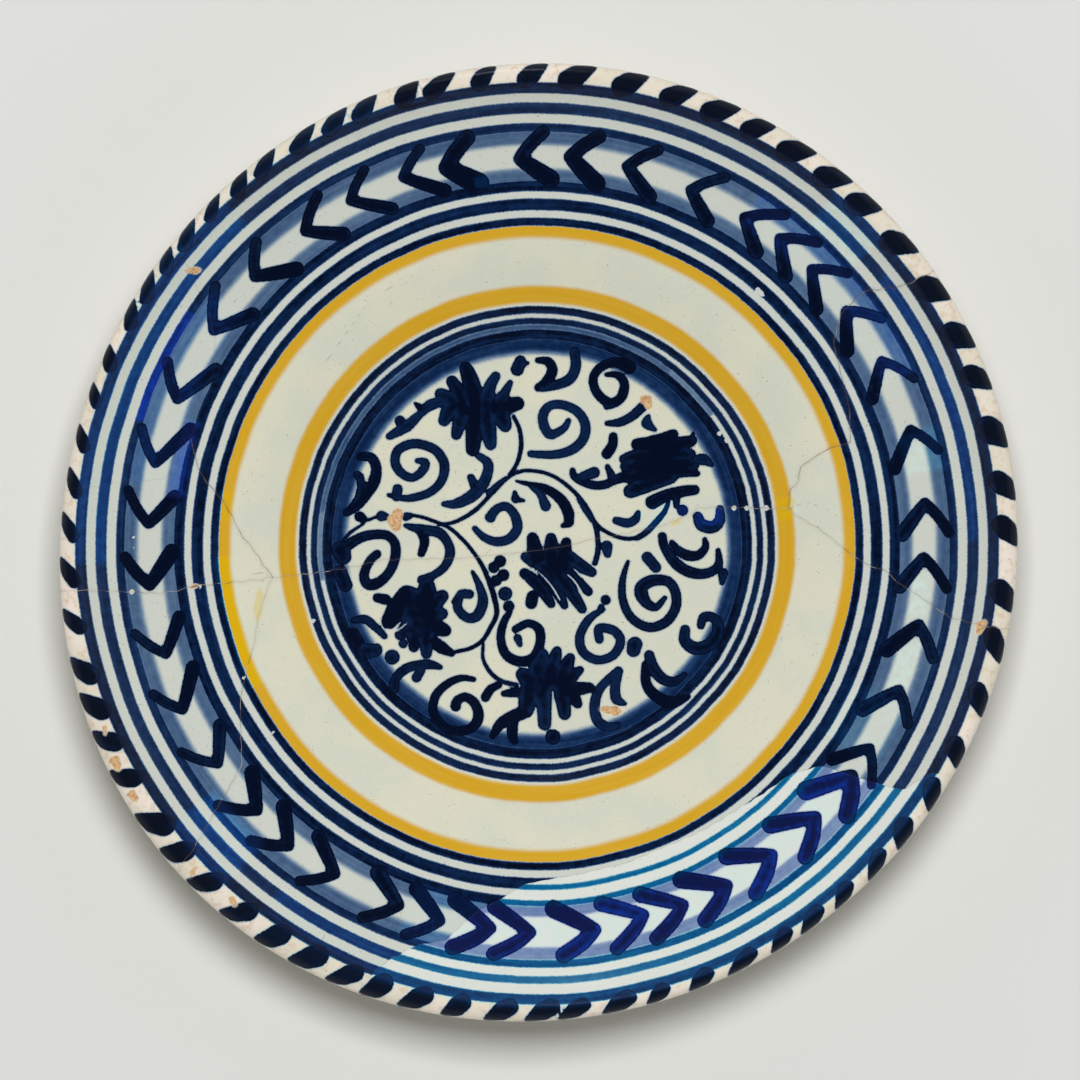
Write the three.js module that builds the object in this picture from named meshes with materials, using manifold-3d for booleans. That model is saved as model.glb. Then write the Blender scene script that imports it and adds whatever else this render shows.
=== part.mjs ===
// A tin-glazed earthenware dish that was broken and put together again. It lies face up on its foot ring,
// centred on the Z axis, with the underside of the foot at z = 0. Lengths are in millimetres.
//
// One dish is turned as a lathe solid, its rim is pushed slightly out of round, and thin walls that follow
// the break lines are cut away from it. What is left falls apart into five sherds and two plaster fills,
// which take the place of rim pieces that were lost. The glue line between neighbours is left open.
import * as THREE from 'three';
import { mergeVertices } from 'three/addons/utils/BufferGeometryUtils.js';
import Module from 'manifold-3d';

// Driving dimensions of the dish.
const RIM_RADIUS = 150;
const HEIGHT = 47;
const TONDO_HEIGHT = 12; // top of the flat painted centre
const FOOT_OUTER_RADIUS = 60.5;
const FOOT_INNER_RADIUS = 53.5;
const FOOT_RECESS = 3.8; // how far the base is hollowed inside the foot ring
const BEAD_RADIUS = 3.8; // the rounded lip
const BEAD_TOP_ANGLE = 125; // degrees, where the lip runs into the flange
const BEAD_BACK_ANGLE = -50; // degrees, where the lip runs into the back

// The rim was thrown by hand: its outline is a little oval, with three faint lobes.
const RIM_OVAL = 1.7;
const RIM_LOBES = 0.8;
const RIM_LOBE_TURN = 44; // degrees
const ROUND_RADIUS = 143.5; // inside this radius the dish is truly round

// How finely the curves are divided.
const SIDES = 96;
const FRONT_STEPS = 14;
const BACK_STEPS = 9;
const BEAD_STEPS = 5;

// The open glue line between two neighbours.
const GLUE_GAP = 0.3;
const CUT_MARGIN = 5; // how far a cutting wall stands out above and below the dish

// Where break lines meet.
const LEFT_JUNCTION = [-83, -10.5];
const RIGHT_JUNCTION = [79, 11];
const UPPER_LEFT_FILL_CORNER = [-108.5, 33];

// The break lines, seen from above. One that ends at the rim runs a little way past it.
const BREAK_LINES = {
  left: [
    LEFT_JUNCTION, [-94, -12], [-107, -13], [-112, -14.5], [-119, -15.5], [-128, -15], [-140, -14.5],
    [-156, -15],
  ],
  leftUp: [
    LEFT_JUNCTION, [-85.5, -7], [-88.5, -2.5], [-93, 3], [-95, 7.5], [-99, 14], [-104, 20], [-106.5, 24],
    UPPER_LEFT_FILL_CORNER,
  ],
  leftDown: [
    LEFT_JUNCTION, [-85, -14.5], [-86, -19], [-87.5, -23], [-89, -32], [-91, -39], [-93, -47.5],
    [-93, -60], [-92.5, -69.5], [-99, -80.5], [-106, -93], [-118, -113],
  ],
  middle: [
    LEFT_JUNCTION, [-77, -10], [-62, -8], [-48, -5], [-24, -4.5], [-18, -4], [1, -2], [12, 0],
    [17.5, 1.5], [29, 3.5], [40, 6], [48, 9], [51, 11.5], [64, 11.5], RIGHT_JUNCTION,
  ],
  rightDown: [
    RIGHT_JUNCTION, [81, 9], [89, 4.5], [95, -0.5], [99, -3.5], [105.5, -7.5], [109, -8],
    [112.5, -11.5], [129.5, -23], [138.5, -25.5], [157, -28],
  ],
  rightUp: [
    RIGHT_JUNCTION, [79.5, 17], [82, 19.5], [82.5, 24], [87, 27], [91.5, 30], [98.5, 32], [98, 42],
    [95.5, 53], [93, 62.5], [95, 72], [102, 79], [115.5, 81], [126.5, 86.5], [136, 92],
  ],
  lowerRimFill: [
    [-59, -150], [-53.5, -136], [-46, -130], [-38.5, -126], [-28.5, -124], [-18, -114.5],
    [-11.5, -111.5], [-3.5, -106.5], [11, -104], [27, -100.5], [52, -90], [67.5, -80.5], [80, -72],
    [89, -69.5], [108, -75.5], [114.5, -77], [124, -71.5], [144, -76],
  ],
  upperLeftRimFill: [
    [-123, 99], [-108.5, 86.5], [-106.5, 80], [-103, 73], [-101, 64], [-101, 55.5], [-105, 44.5],
    UPPER_LEFT_FILL_CORNER, [-112, 24], [-118.5, 20], [-128, 20], [-138.5, 18], [-157, 16],
  ],
};

// Where the glaze flaked off and left a shallow pit: centre, half length and half width, and bearing in
// degrees of the long way. The first three are on the centre, the others on the flange and the lip.
const FLAKES = [
  { at: [-44.6, 7.5], half: [3.6, 1.7], bearing: 78 },
  { at: [34.5, 44.9], half: [2.2, 1.5], bearing: 125 },
  { at: [23.8, -52.4], half: [3.4, 1.3], bearing: -8 },
  { at: [-107.6, 85.6], half: [2.4, 1], bearing: 5 },
  { at: [138.9, -25.8], half: [2.4, 1.4], bearing: 60 },
  { at: [-129.6, -66.5], half: [3, 1.6], bearing: 118 },
  { at: [-117.4, -88.6], half: [3.4, 1.7], bearing: 130 },
];
const FLAKE_DEPTH = 1.1;
const FLAKE_SIDES = 14;
const FLAKE_RINGS = 8;

// One place well inside each piece says which name it has, and what it is made of.
const PIECES = [
  { name: 'sherd_upper', inside: [0, 100], finish: 'glaze' },
  { name: 'sherd_lower', inside: [-30, -80], finish: 'glaze' },
  { name: 'sherd_left_upper', inside: [-125, 5], finish: 'glaze' },
  { name: 'sherd_left_lower', inside: [-115, -45], finish: 'glaze' },
  { name: 'sherd_right', inside: [125, 30], finish: 'glaze' },
  { name: 'rim_fill_lower', inside: [70, -110], finish: 'plaster' },
  { name: 'rim_fill_upper_left', inside: [-120, 50], finish: 'plaster' },
];

const FINISHES = {
  glaze: { color: 0xd6d2be, roughness: 0.25, metalness: 0 },
  plaster: { color: 0xc9ccc4, roughness: 0.5, metalness: 0 },
};

const wasm = await Module();
wasm.setup();

const radians = THREE.MathUtils.degToRad;

// Turns a closed three.js geometry into a solid that can be cut.
function solidFrom(geometry) {
  const bare = geometry.clone();
  bare.deleteAttribute('normal');
  bare.deleteAttribute('uv');
  const merged = mergeVertices(bare, 1e-4);
  const index = merged.index.array;
  const corners = [];
  for (let i = 0; i < index.length; i += 3) {
    const [a, b, c] = [index[i], index[i + 1], index[i + 2]];
    if (a !== b && b !== c && c !== a) {
      corners.push(a, b, c);
    }
  }
  const vertProperties = Float32Array.from(merged.attributes.position.array);
  const triVerts = Uint32Array.from(corners);
  return new wasm.Manifold(new wasm.Mesh({ numProp: 3, vertProperties, triVerts }));
}

// Turns a solid back into a three.js geometry.
function geometryFrom(solid) {
  const mesh = solid.getMesh();
  const geometry = new THREE.BufferGeometry();
  geometry.setAttribute('position', new THREE.BufferAttribute(mesh.vertProperties.slice(), 3));
  geometry.setIndex(new THREE.BufferAttribute(mesh.triVerts.slice(), 1));
  geometry.computeVertexNormals();
  return geometry;
}

// The painted face in section, from the axis out to the lip: flat centre, well, then a rising flange.
function frontCurve() {
  const beadEnd = beadPoint(BEAD_TOP_ANGLE);
  return new THREE.SplineCurve([
    new THREE.Vector2(0, TONDO_HEIGHT),
    new THREE.Vector2(32, TONDO_HEIGHT + 0.2),
    new THREE.Vector2(56, TONDO_HEIGHT + 1),
    new THREE.Vector2(68, TONDO_HEIGHT + 4),
    new THREE.Vector2(80, 21.2),
    new THREE.Vector2(92, 26),
    new THREE.Vector2(104, 29.6),
    new THREE.Vector2(118, 33),
    new THREE.Vector2(131, 37.6),
    new THREE.Vector2(138, 41.4),
    beadEnd,
  ]);
}

// The back in section, from the lip down to the foot ring.
function backCurve() {
  return new THREE.SplineCurve([
    beadPoint(BEAD_BACK_ANGLE),
    new THREE.Vector2(145, 37),
    new THREE.Vector2(136, 32.6),
    new THREE.Vector2(123, 27.6),
    new THREE.Vector2(108, 23.2),
    new THREE.Vector2(95, 18.6),
    new THREE.Vector2(82, 12.8),
    new THREE.Vector2(71, 7.4),
    new THREE.Vector2(63.5, 4.4),
  ]);
}

// A point on the round bead of the lip.
function beadPoint(degrees) {
  const angle = radians(degrees);
  const centre = new THREE.Vector2(RIM_RADIUS - BEAD_RADIUS, HEIGHT - BEAD_RADIUS);
  return new THREE.Vector2(Math.cos(angle), Math.sin(angle)).multiplyScalar(BEAD_RADIUS).add(centre);
}

// The whole section, from the axis on the face round to the axis on the base.
function section() {
  const front = frontCurve().getPoints(FRONT_STEPS);
  const bead = [];
  for (let i = 1; i < BEAD_STEPS; i += 1) {
    bead.push(beadPoint(THREE.MathUtils.lerp(BEAD_TOP_ANGLE, BEAD_BACK_ANGLE, i / BEAD_STEPS)));
  }
  const back = backCurve().getPoints(BACK_STEPS);
  const foot = [
    new THREE.Vector2(FOOT_OUTER_RADIUS + 0.6, 1.2),
    new THREE.Vector2(FOOT_OUTER_RADIUS, 0),
    new THREE.Vector2(FOOT_INNER_RADIUS, 0),
    new THREE.Vector2(FOOT_INNER_RADIUS - 1.5, FOOT_RECESS),
    new THREE.Vector2(0, FOOT_RECESS),
  ];
  return [...front, ...bead, ...back, ...foot];
}

// How far the rim stands out beyond a true circle at an angle in radians.
function rimOffset(angle) {
  return RIM_OVAL * Math.sin(2 * angle) + RIM_LOBES * Math.cos(3 * angle + radians(RIM_LOBE_TURN));
}

// Pushes the lip of a turned dish out of round.
function pushRim(geometry) {
  const position = geometry.attributes.position;
  for (let i = 0; i < position.count; i += 1) {
    const radius = Math.hypot(position.getX(i), position.getY(i));
    const share = (radius - ROUND_RADIUS) / (RIM_RADIUS - ROUND_RADIUS);
    if (share > 0) {
      const angle = Math.atan2(position.getY(i), position.getX(i));
      const stretch = 1 + (rimOffset(angle) * share) / radius;
      position.setX(i, position.getX(i) * stretch);
      position.setY(i, position.getY(i) * stretch);
    }
  }
}

function wholeDish() {
  // The lathe turns about Y, so its result is tipped up to stand along Z. The section is turned in from
  // the base to the face, which makes its surface look outwards.
  const geometry = new THREE.LatheGeometry(section().reverse(), SIDES);
  geometry.rotateX(Math.PI / 2);
  pushRim(geometry);
  return solidFrom(geometry);
}

// A thin upright wall along a break line. Both ends run on by one gap, so that walls that meet overlap.
function breakWall(route) {
  const points = route.map(([x, y]) => new THREE.Vector2(x, y));
  const last = points.length - 1;
  const runOn = (end, next) => end.clone().sub(next).setLength(GLUE_GAP).add(end);
  const path = [runOn(points[0], points[1]), ...points, runOn(points[last], points[last - 1])];
  const nearSide = [];
  const farSide = [];
  path.forEach((point, i) => {
    const before = path[Math.max(i - 1, 0)];
    const after = path[Math.min(i + 1, path.length - 1)];
    const along = after.clone().sub(before).normalize();
    const across = new THREE.Vector2(-along.y, along.x).multiplyScalar(GLUE_GAP / 2);
    nearSide.push(point.clone().add(across));
    farSide.unshift(point.clone().sub(across));
  });
  const outline = new THREE.Shape([...nearSide, ...farSide]);
  const depth = HEIGHT + 2 * CUT_MARGIN;
  const geometry = new THREE.ExtrudeGeometry(outline, { depth, bevelEnabled: false });
  geometry.translate(0, 0, -CUT_MARGIN);
  return solidFrom(geometry);
}

// Height of the painted face at a radius. Past the flange it is the top of the lip.
function faceHeight(radius) {
  const points = frontCurve().getPoints(FRONT_STEPS);
  const outer = points.findIndex((point) => point.x >= radius);
  if (outer < 0) {
    return HEIGHT;
  }
  const [a, b] = [points[outer - 1], points[outer]];
  return THREE.MathUtils.mapLinear(radius, a.x, b.x, a.y, b.y);
}

// A lens that takes a shallow pit out of the painted face.
function flakeTool({ at: [x, y], half: [halfLength, halfWidth], bearing }) {
  const geometry = new THREE.SphereGeometry(1, FLAKE_SIDES, FLAKE_RINGS);
  geometry.rotateX(Math.PI / 2);
  geometry.scale(halfLength, halfWidth, FLAKE_DEPTH);
  geometry.rotateZ(radians(bearing));
  geometry.translate(x, y, faceHeight(Math.hypot(x, y)));
  return solidFrom(geometry);
}

// Finds the piece that lies under a place, by looking straight down on each.
function pieceUnder([x, y], geometries) {
  const ray = new THREE.Raycaster(new THREE.Vector3(x, y, 2 * HEIGHT), new THREE.Vector3(0, 0, -1));
  return geometries.find((geometry) => ray.intersectObject(new THREE.Mesh(geometry)).length > 0);
}

let dish = wholeDish();
for (const flake of FLAKES) {
  dish = dish.subtract(flakeTool(flake));
}
for (const route of Object.values(BREAK_LINES)) {
  dish = dish.subtract(breakWall(route));
}
const brokenPieces = dish.decompose().map(geometryFrom);
if (brokenPieces.length !== PIECES.length) {
  throw new Error(`the dish fell into ${brokenPieces.length} pieces`);
}

const mendedDish = new THREE.Group();
mendedDish.name = 'mended_dish';
for (const { name, inside, finish } of PIECES) {
  const material = new THREE.MeshStandardMaterial(FINISHES[finish]);
  const piece = new THREE.Mesh(pieceUnder(inside, brokenPieces), material);
  piece.name = name;
  mendedDish.add(piece);
}

export default mendedDish;
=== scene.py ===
"""A painted tin-glazed earthenware dish, 300 mm across, that was broken and glued together again.

The dish is turned as one body, broken along its crack lines into five sherds and two plaster fills, and
painted: rings, a border of arrowheads, a rope-stroke lip, and a centre of florets, stems and scrolls.
Sizes are in millimetres in the classes, and meshes are in metres.
"""

import logging
import math
from dataclasses import dataclass, field, replace
from enum import Enum

import bpy
import numpy as np
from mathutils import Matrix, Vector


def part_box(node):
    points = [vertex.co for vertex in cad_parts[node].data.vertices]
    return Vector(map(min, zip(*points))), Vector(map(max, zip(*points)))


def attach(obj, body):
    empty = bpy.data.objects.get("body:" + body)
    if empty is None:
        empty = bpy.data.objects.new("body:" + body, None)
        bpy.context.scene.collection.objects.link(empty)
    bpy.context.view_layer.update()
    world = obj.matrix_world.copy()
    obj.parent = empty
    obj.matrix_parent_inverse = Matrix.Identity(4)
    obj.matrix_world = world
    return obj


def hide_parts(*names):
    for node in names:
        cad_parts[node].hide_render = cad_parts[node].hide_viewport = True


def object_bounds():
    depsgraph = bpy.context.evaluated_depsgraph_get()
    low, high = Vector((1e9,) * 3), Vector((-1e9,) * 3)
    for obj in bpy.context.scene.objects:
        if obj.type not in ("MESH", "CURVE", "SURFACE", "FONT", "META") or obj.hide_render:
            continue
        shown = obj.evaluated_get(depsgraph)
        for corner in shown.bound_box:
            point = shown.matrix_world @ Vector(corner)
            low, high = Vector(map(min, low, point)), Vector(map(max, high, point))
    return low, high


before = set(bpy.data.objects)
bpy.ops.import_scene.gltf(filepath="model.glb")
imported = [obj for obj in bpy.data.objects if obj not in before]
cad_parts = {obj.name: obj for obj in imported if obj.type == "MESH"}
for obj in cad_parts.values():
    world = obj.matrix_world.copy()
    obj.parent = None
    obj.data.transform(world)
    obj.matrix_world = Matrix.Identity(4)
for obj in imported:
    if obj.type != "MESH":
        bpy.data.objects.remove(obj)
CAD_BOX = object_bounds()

LOG = logging.getLogger("mended_dish")
MM = 0.001
Point = tuple[float, float]


# --------------------------------------------------------------------------------------------------
# Small helpers


def srgb(red: int, green: int, blue: int) -> tuple[float, float, float, float]:
    """Turn a colour of 0 to 255 a channel into the linear colour that a shader takes."""
    linear = []
    for channel in (red, green, blue):
        share = channel / 255
        linear.append(share / 12.92 if share <= 0.04045 else ((share + 0.055) / 1.055) ** 2.4)
    return (linear[0], linear[1], linear[2], 1.0)


def deselect_all() -> None:
    """Leave nothing selected, so that the next operator acts only on what it is given."""
    if bpy.context.object is not None and bpy.context.object.mode != "OBJECT":
        bpy.ops.object.mode_set(mode="OBJECT")
    bpy.ops.object.select_all(action="DESELECT")


def pick(piece: bpy.types.Object) -> None:
    """Make one piece the only selected one, and the active one."""
    deselect_all()
    piece.select_set(True)
    bpy.context.view_layer.objects.active = piece


def across_line(line: np.ndarray) -> np.ndarray:
    """Find the way straight across a line, to its left, at each of its points."""
    along = np.gradient(line, axis=0)
    along /= np.hypot(along[:, 0], along[:, 1])[:, None]
    return np.column_stack([-along[:, 1], along[:, 0]])


def smooth_curve(points: list[Point], steps: int) -> np.ndarray:
    """Draw a smooth curve through points, with the same spline as the solids have.

    Args:
        points: The points that the curve passes through.
        steps: How many steps lie between two neighbouring points.

    Returns:
        The curve's points, one row each.
    """
    through = np.array(points, dtype=float)
    if len(through) < 3:
        share = np.linspace(0, 1, steps + 1)[:, None]
        return through[0] * (1 - share) + through[-1] * share
    padded = np.vstack([through[:1], through, through[-1:]])
    rows = []
    for i in range(len(through) - 1):
        before, start, end, after = padded[i], padded[i + 1], padded[i + 2], padded[i + 3]
        pull_out, pull_in = (end - before) / 2, (after - start) / 2
        for t in np.linspace(0, 1, steps, endpoint=False):
            rows.append(
                (2 * start - 2 * end + pull_out + pull_in) * t**3
                + (-3 * start + 3 * end - 2 * pull_out - pull_in) * t**2
                + pull_out * t
                + start
            )
    rows.append(through[-1])
    return np.array(rows)


def even_spacing(curve: np.ndarray, gap: float) -> np.ndarray:
    """Place points along a curve at an even gap.

    Args:
        curve: The curve's points, one row each.
        gap: The wanted distance between neighbours.

    Returns:
        New points on the curve, both ends included.
    """
    steps = np.hypot(*np.diff(curve, axis=0).T)
    along = np.concatenate([[0], np.cumsum(steps)])
    count = max(2, int(round(along[-1] / gap)) + 1)
    wanted = np.linspace(0, along[-1], count)
    return np.column_stack([np.interp(wanted, along, curve[:, axis]) for axis in (0, 1)])


# --------------------------------------------------------------------------------------------------
# The shape of the dish


@dataclass
class Section:
    """The dish's section, from the axis on the face round to the axis on the base, in millimetres."""

    rim_radius: float = 150.0
    height: float = 47.0
    centre_height: float = 12.0
    bead_radius: float = 3.8
    bead_top: float = 125.0
    bead_back: float = -50.0
    foot_outer: float = 60.5
    foot_inner: float = 53.5
    foot_recess: float = 3.8
    centre_radius: float = 66.0
    centre_gap: float = 0.6
    flange_gap: float = 0.9
    back_gap: float = 3.2
    bead_steps: int = 12
    curve_steps: int = 24
    base_rings: int = 12

    def bead_point(self, degrees: float) -> Point:
        """Find a point on the round bead of the lip."""
        angle = math.radians(degrees)
        return (
            self.rim_radius - self.bead_radius + math.cos(angle) * self.bead_radius,
            self.height - self.bead_radius + math.sin(angle) * self.bead_radius,
        )

    def front(self) -> np.ndarray:
        """Draw the painted face: flat centre, well and rising flange."""
        flat = self.centre_height
        points = [(0, flat), (32, flat + 0.2), (56, flat + 1), (68, flat + 4), (80, 21.2), (92, 26)]
        points += [(104, 29.6), (118, 33), (131, 37.6), (138, 41.4), self.bead_point(self.bead_top)]
        return smooth_curve(points, self.curve_steps)

    def back(self) -> np.ndarray:
        """Draw the back, from the lip down to the foot ring."""
        points = [self.bead_point(self.bead_back), (145, 37), (136, 32.6), (123, 27.6), (108, 23.2)]
        points += [(95, 18.6), (82, 12.8), (71, 7.4), (63.5, 4.4)]
        return smooth_curve(points, self.curve_steps)

    def outline(self, coarse: int = 1) -> np.ndarray:
        """Trace the whole section.

        Args:
            coarse: How many times wider than usual the points on the face are spaced.

        Returns:
            The section's points as radius and height, one row each.
        """
        face = self.front()
        inner = face[face[:, 0] <= self.centre_radius]
        outer = face[face[:, 0] >= self.centre_radius]
        angles = np.linspace(self.bead_top, self.bead_back, self.bead_steps + 1)[1:-1]
        return np.vstack([
            even_spacing(inner, self.centre_gap * coarse),
            even_spacing(outer, self.flange_gap * coarse)[1:],
            np.array([self.bead_point(angle) for angle in angles]),
            even_spacing(self.back(), self.back_gap),
            self.foot(),
        ])

    def foot(self) -> np.ndarray:
        """Trace the foot ring and the hollow base inside it."""
        ring = [
            (self.foot_outer + 1.3, 3.2),
            (self.foot_outer + 0.6, 1.2),
            (self.foot_outer + 0.1, 0.3),
            (self.foot_outer - 0.4, 0),
            (self.foot_inner + 0.4, 0),
            (self.foot_inner, 0.3),
            (self.foot_inner - 0.6, 1.4),
            (self.foot_inner - 1.5, self.foot_recess),
        ]
        base = [(radius, self.foot_recess) for radius in np.linspace(self.foot_inner - 5, 0, self.base_rings)]
        return np.array(ring + base)


@dataclass
class RimOutline:
    """How the hand-thrown rim differs from a true circle, in millimetres."""

    rim_radius: float = 150.0
    round_radius: float = 143.5
    oval: float = 1.7
    lobes: float = 0.8
    lobe_turn: float = 44.0

    def offset(self, angle: np.ndarray) -> np.ndarray:
        """Say how far the rim stands beyond a true circle at an angle in radians."""
        return self.oval * np.sin(2 * angle) + self.lobes * np.cos(3 * angle + math.radians(self.lobe_turn))

    def push(self, places: np.ndarray) -> np.ndarray:
        """Push the lip of a turned dish out of round, and return the moved places."""
        radius = np.hypot(places[:, 0], places[:, 1])
        angle = np.arctan2(places[:, 1], places[:, 0])
        share = np.clip((radius - self.round_radius) / (self.rim_radius - self.round_radius), 0, None)
        stretch = 1 + self.offset(angle) * share / np.maximum(radius, 1)
        moved = places.copy()
        moved[:, 0] *= stretch
        moved[:, 1] *= stretch
        return moved


LEFT_JUNCTION: Point = (-83, -10.5)
RIGHT_JUNCTION: Point = (79, 11)
FILL_CORNER: Point = (-108.5, 33)


@dataclass
class BreakLine:
    """One break line, seen from above, with the small steps that a fracture has.

    How far it is shown, from 0 to 1, tells how dark the dirt in it is. The gap is between the steps, and
    the line runs on past both ends, so that it cuts through.
    """

    name: str
    route: list[Point]
    overpainted: bool = False
    shown: float = 0.5
    ragged: float = 0.15
    run_on: float = 0.3
    gap: float = 1.6

    @property
    def dark(self) -> bool:
        """Whether the glue in it has dirt on it."""
        return self.shown > 0.5

    def centre_line(self) -> np.ndarray:
        """Draw the fracture's ragged middle line, with three waves of unlike lengths added up."""
        steps = even_spacing(np.array(self.route, dtype=float), self.gap)
        count = np.arange(len(steps))
        shift = np.sin(count * 1.9 + len(steps)) + 0.7 * np.sin(count * 4.3 + 1)
        shift += 0.5 * np.sin(count * 0.63)
        shift[0] = shift[-1] = 0
        return steps + across_line(steps) * shift[:, None] * self.ragged

    def sides(self, width: float) -> np.ndarray:
        """Trace the two sides of the break at a width, with both ends run on a little.

        Args:
            width: The width of the opening.

        Returns:
            The points of one side from end to end, and then those of the other.
        """
        line = self.centre_line()
        start = line[0] + (line[0] - line[1]) / np.linalg.norm(line[0] - line[1]) * self.run_on
        end = line[-1] + (line[-1] - line[-2]) / np.linalg.norm(line[-1] - line[-2]) * self.run_on
        if self.run_on:
            line = np.vstack([start, line, end])
        across = across_line(line) * width / 2
        return np.vstack([line - across, line + across])


BREAK_LINES = [
    BreakLine("left", [
        LEFT_JUNCTION, (-94, -12), (-107, -13), (-112, -14.5), (-119, -15.5), (-128, -15), (-140, -14.5),
        (-156, -15),
    ], shown=0.35),
    BreakLine("left_up", [
        LEFT_JUNCTION, (-85.5, -7), (-88.5, -2.5), (-93, 3), (-95, 7.5), (-99, 14), (-104, 20), (-106.5, 24),
        FILL_CORNER,
    ], shown=0.65),
    BreakLine("left_down", [
        LEFT_JUNCTION, (-85, -14.5), (-86, -19), (-87.5, -23), (-89, -32), (-91, -39), (-93, -47.5),
        (-93, -60), (-92.5, -69.5), (-99, -80.5), (-106, -93), (-118, -113),
    ], shown=0.3),
    BreakLine("middle", [
        LEFT_JUNCTION, (-77, -10), (-62, -8), (-48, -5), (-24, -4.5), (-18, -4), (1, -2), (12, 0),
        (17.5, 1.5), (29, 3.5), (40, 6), (48, 9), (51, 11.5), (64, 11.5), RIGHT_JUNCTION,
    ], shown=0.2),
    BreakLine("right_down", [
        RIGHT_JUNCTION, (81, 9), (89, 4.5), (95, -0.5), (99, -3.5), (105.5, -7.5), (109, -8),
        (112.5, -11.5), (129.5, -23), (138.5, -25.5), (157, -28),
    ], shown=0.45),
    BreakLine("right_up", [
        RIGHT_JUNCTION, (79.5, 17), (82, 19.5), (82.5, 24), (87, 27), (91.5, 30), (98.5, 32), (98, 42),
        (95.5, 53), (93, 62.5), (95, 72), (102, 79), (115.5, 81), (126.5, 86.5), (136, 92),
    ], shown=0.75),
    BreakLine("lower_rim_fill", [
        (-59, -150), (-53.5, -136), (-46, -130), (-38.5, -126), (-28.5, -124), (-18, -114.5),
        (-11.5, -111.5), (-3.5, -106.5), (11, -104), (27, -100.5), (52, -90), (67.5, -80.5), (80, -72),
        (89, -69.5), (108, -75.5), (114.5, -77), (124, -71.5), (144, -76),
    ], overpainted=True),
    BreakLine("upper_left_rim_fill", [
        (-123, 99), (-108.5, 86.5), (-106.5, 80), (-103, 73), (-101, 64), (-101, 55.5), (-105, 44.5),
        FILL_CORNER, (-112, 24), (-118.5, 20), (-128, 20), (-138.5, 18), (-157, 16),
    ], overpainted=True),
]


# --------------------------------------------------------------------------------------------------
# The painting


@dataclass
class Brush:
    """One brush stroke: the points that it passes, and its half width, which changes along it.

    A stroke of one point is a dab. The widths are spread evenly over the stroke.
    """

    points: list[Point]
    half: list[float]
    steps: int = 5

    def path(self) -> tuple[np.ndarray, np.ndarray]:
        """Give the stroke's points and its half width at each."""
        if len(self.points) == 1:
            return np.array(self.points, dtype=float), np.array(self.half[:1], dtype=float)
        line = smooth_curve(self.points, self.steps)
        widths = np.interp(np.linspace(0, 1, len(line)), np.linspace(0, 1, len(self.half)), self.half)
        return line, widths


# The rosettes: brush strokes laid side by side over one another, with their ends left showing.
UPPER_LEFT_FLORET = [
    Brush([(-30.3, 47.2), (-26.5, 45), (-23, 43)], [1.9, 2.8, 3.2]),
    Brush([(-26.8, 51.3), (-24.6, 47.5), (-23, 42)], [1.8, 2.4, 3.2]),
    Brush([(-22.4, 55.4), (-20.6, 50), (-19.4, 42), (-19.8, 35), (-20.2, 29.8)], [2.1, 2.9, 3.4, 2.7, 2.2]),
    Brush([(-13, 52.8), (-15, 49), (-16.3, 42), (-15.4, 36), (-14.6, 31.4)], [1.5, 2.0, 3.4, 2.7, 1.9]),
    Brush([(-8.4, 50.8), (-10.2, 47.4), (-11.8, 42.5), (-10, 37.2)], [0.9, 1.6, 3.6, 2.0]),
    Brush([(-6.2, 44.2), (-10, 43.4), (-13, 43)], [2.2, 2.7, 3.2]),
    Brush([(-29.2, 38.9), (-27.6, 42), (-25, 45)], [1.9, 2.6, 3.2]),
    Brush([(-25.4, 34.3), (-24.4, 38), (-22.8, 42.5)], [1.6, 2.3, 3.2]),
]
RIGHT_FLORET = [
    Brush([(31.4, 31.4), (37, 31.2), (42.9, 34.5)], [1.8, 3.2, 1.6]),
    Brush([(40, 29.6), (45, 31.2), (48.9, 32.6)], [3.2, 2.6, 1.6]),
    Brush([(27.2, 26.8), (33, 27.6), (43, 28.2), (48.6, 28.4)], [1.4, 2.8, 3.2, 1.4]),
    Brush([(27.8, 24.4), (38, 24.8), (49, 25.2)], [1.7, 4.0, 2.2]),
    Brush([(26.4, 20.8), (34, 21.6), (44, 23.3), (50.4, 22.2)], [1.2, 3.0, 2.7, 1.0]),
    Brush([(29.4, 16.6), (34, 18.8), (42, 21.2)], [2.2, 2.9, 2.3]),
    Brush([(50.4, 26.4), (52.4, 26.6), (55.2, 24.8)], [1.6, 1.9, 0.7]),
    Brush([(48.9, 33.4), (49.2, 35.2)], [0.9, 0.5]),
    Brush([(36.4, 13.2), (41, 15.4), (46, 16.6), (49.6, 17)], [2.3, 1.9, 1.8, 1.6]),
    Brush([(43.8, 15), (43.9, 12)], [1.4, 1.0]),
]
MIDDLE_FLORET = [
    Brush([(-1.4, 1.9), (-0.6, -2), (0, -5)], [1.8, 2.6, 3.2]),
    Brush([(4.4, 1.8), (4.6, -2), (5, -6)], [1.7, 2.6, 3.8]),
    Brush([(9.2, 0.6), (8.6, -3), (8, -6)], [1.5, 2.4, 3.4]),
    Brush([(-3.6, -4), (0, -6), (4, -8)], [1.6, 2.3, 2.8]),
    Brush([(-4, -9.2), (-1, -11.5), (2, -15), (4.4, -18.8)], [1.6, 2.1, 2.0, 1.4]),
    Brush([(3, -9), (6, -14), (8.7, -19.4)], [2.9, 2.3, 1.2]),
    Brush([(6, -8), (10, -14), (14.2, -20.4)], [3.2, 2.3, 1.5]),
    Brush([(8, -6.5), (12, -11), (16.2, -15)], [3.0, 1.9, 1.4]),
    Brush([(9, -4), (13, -6.5), (17.3, -8.9)], [2.8, 2.3, 1.5]),
    Brush([(-1.4, -16.6), (-1.8, -18.6)], [1.9, 1.9]),
]
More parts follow.
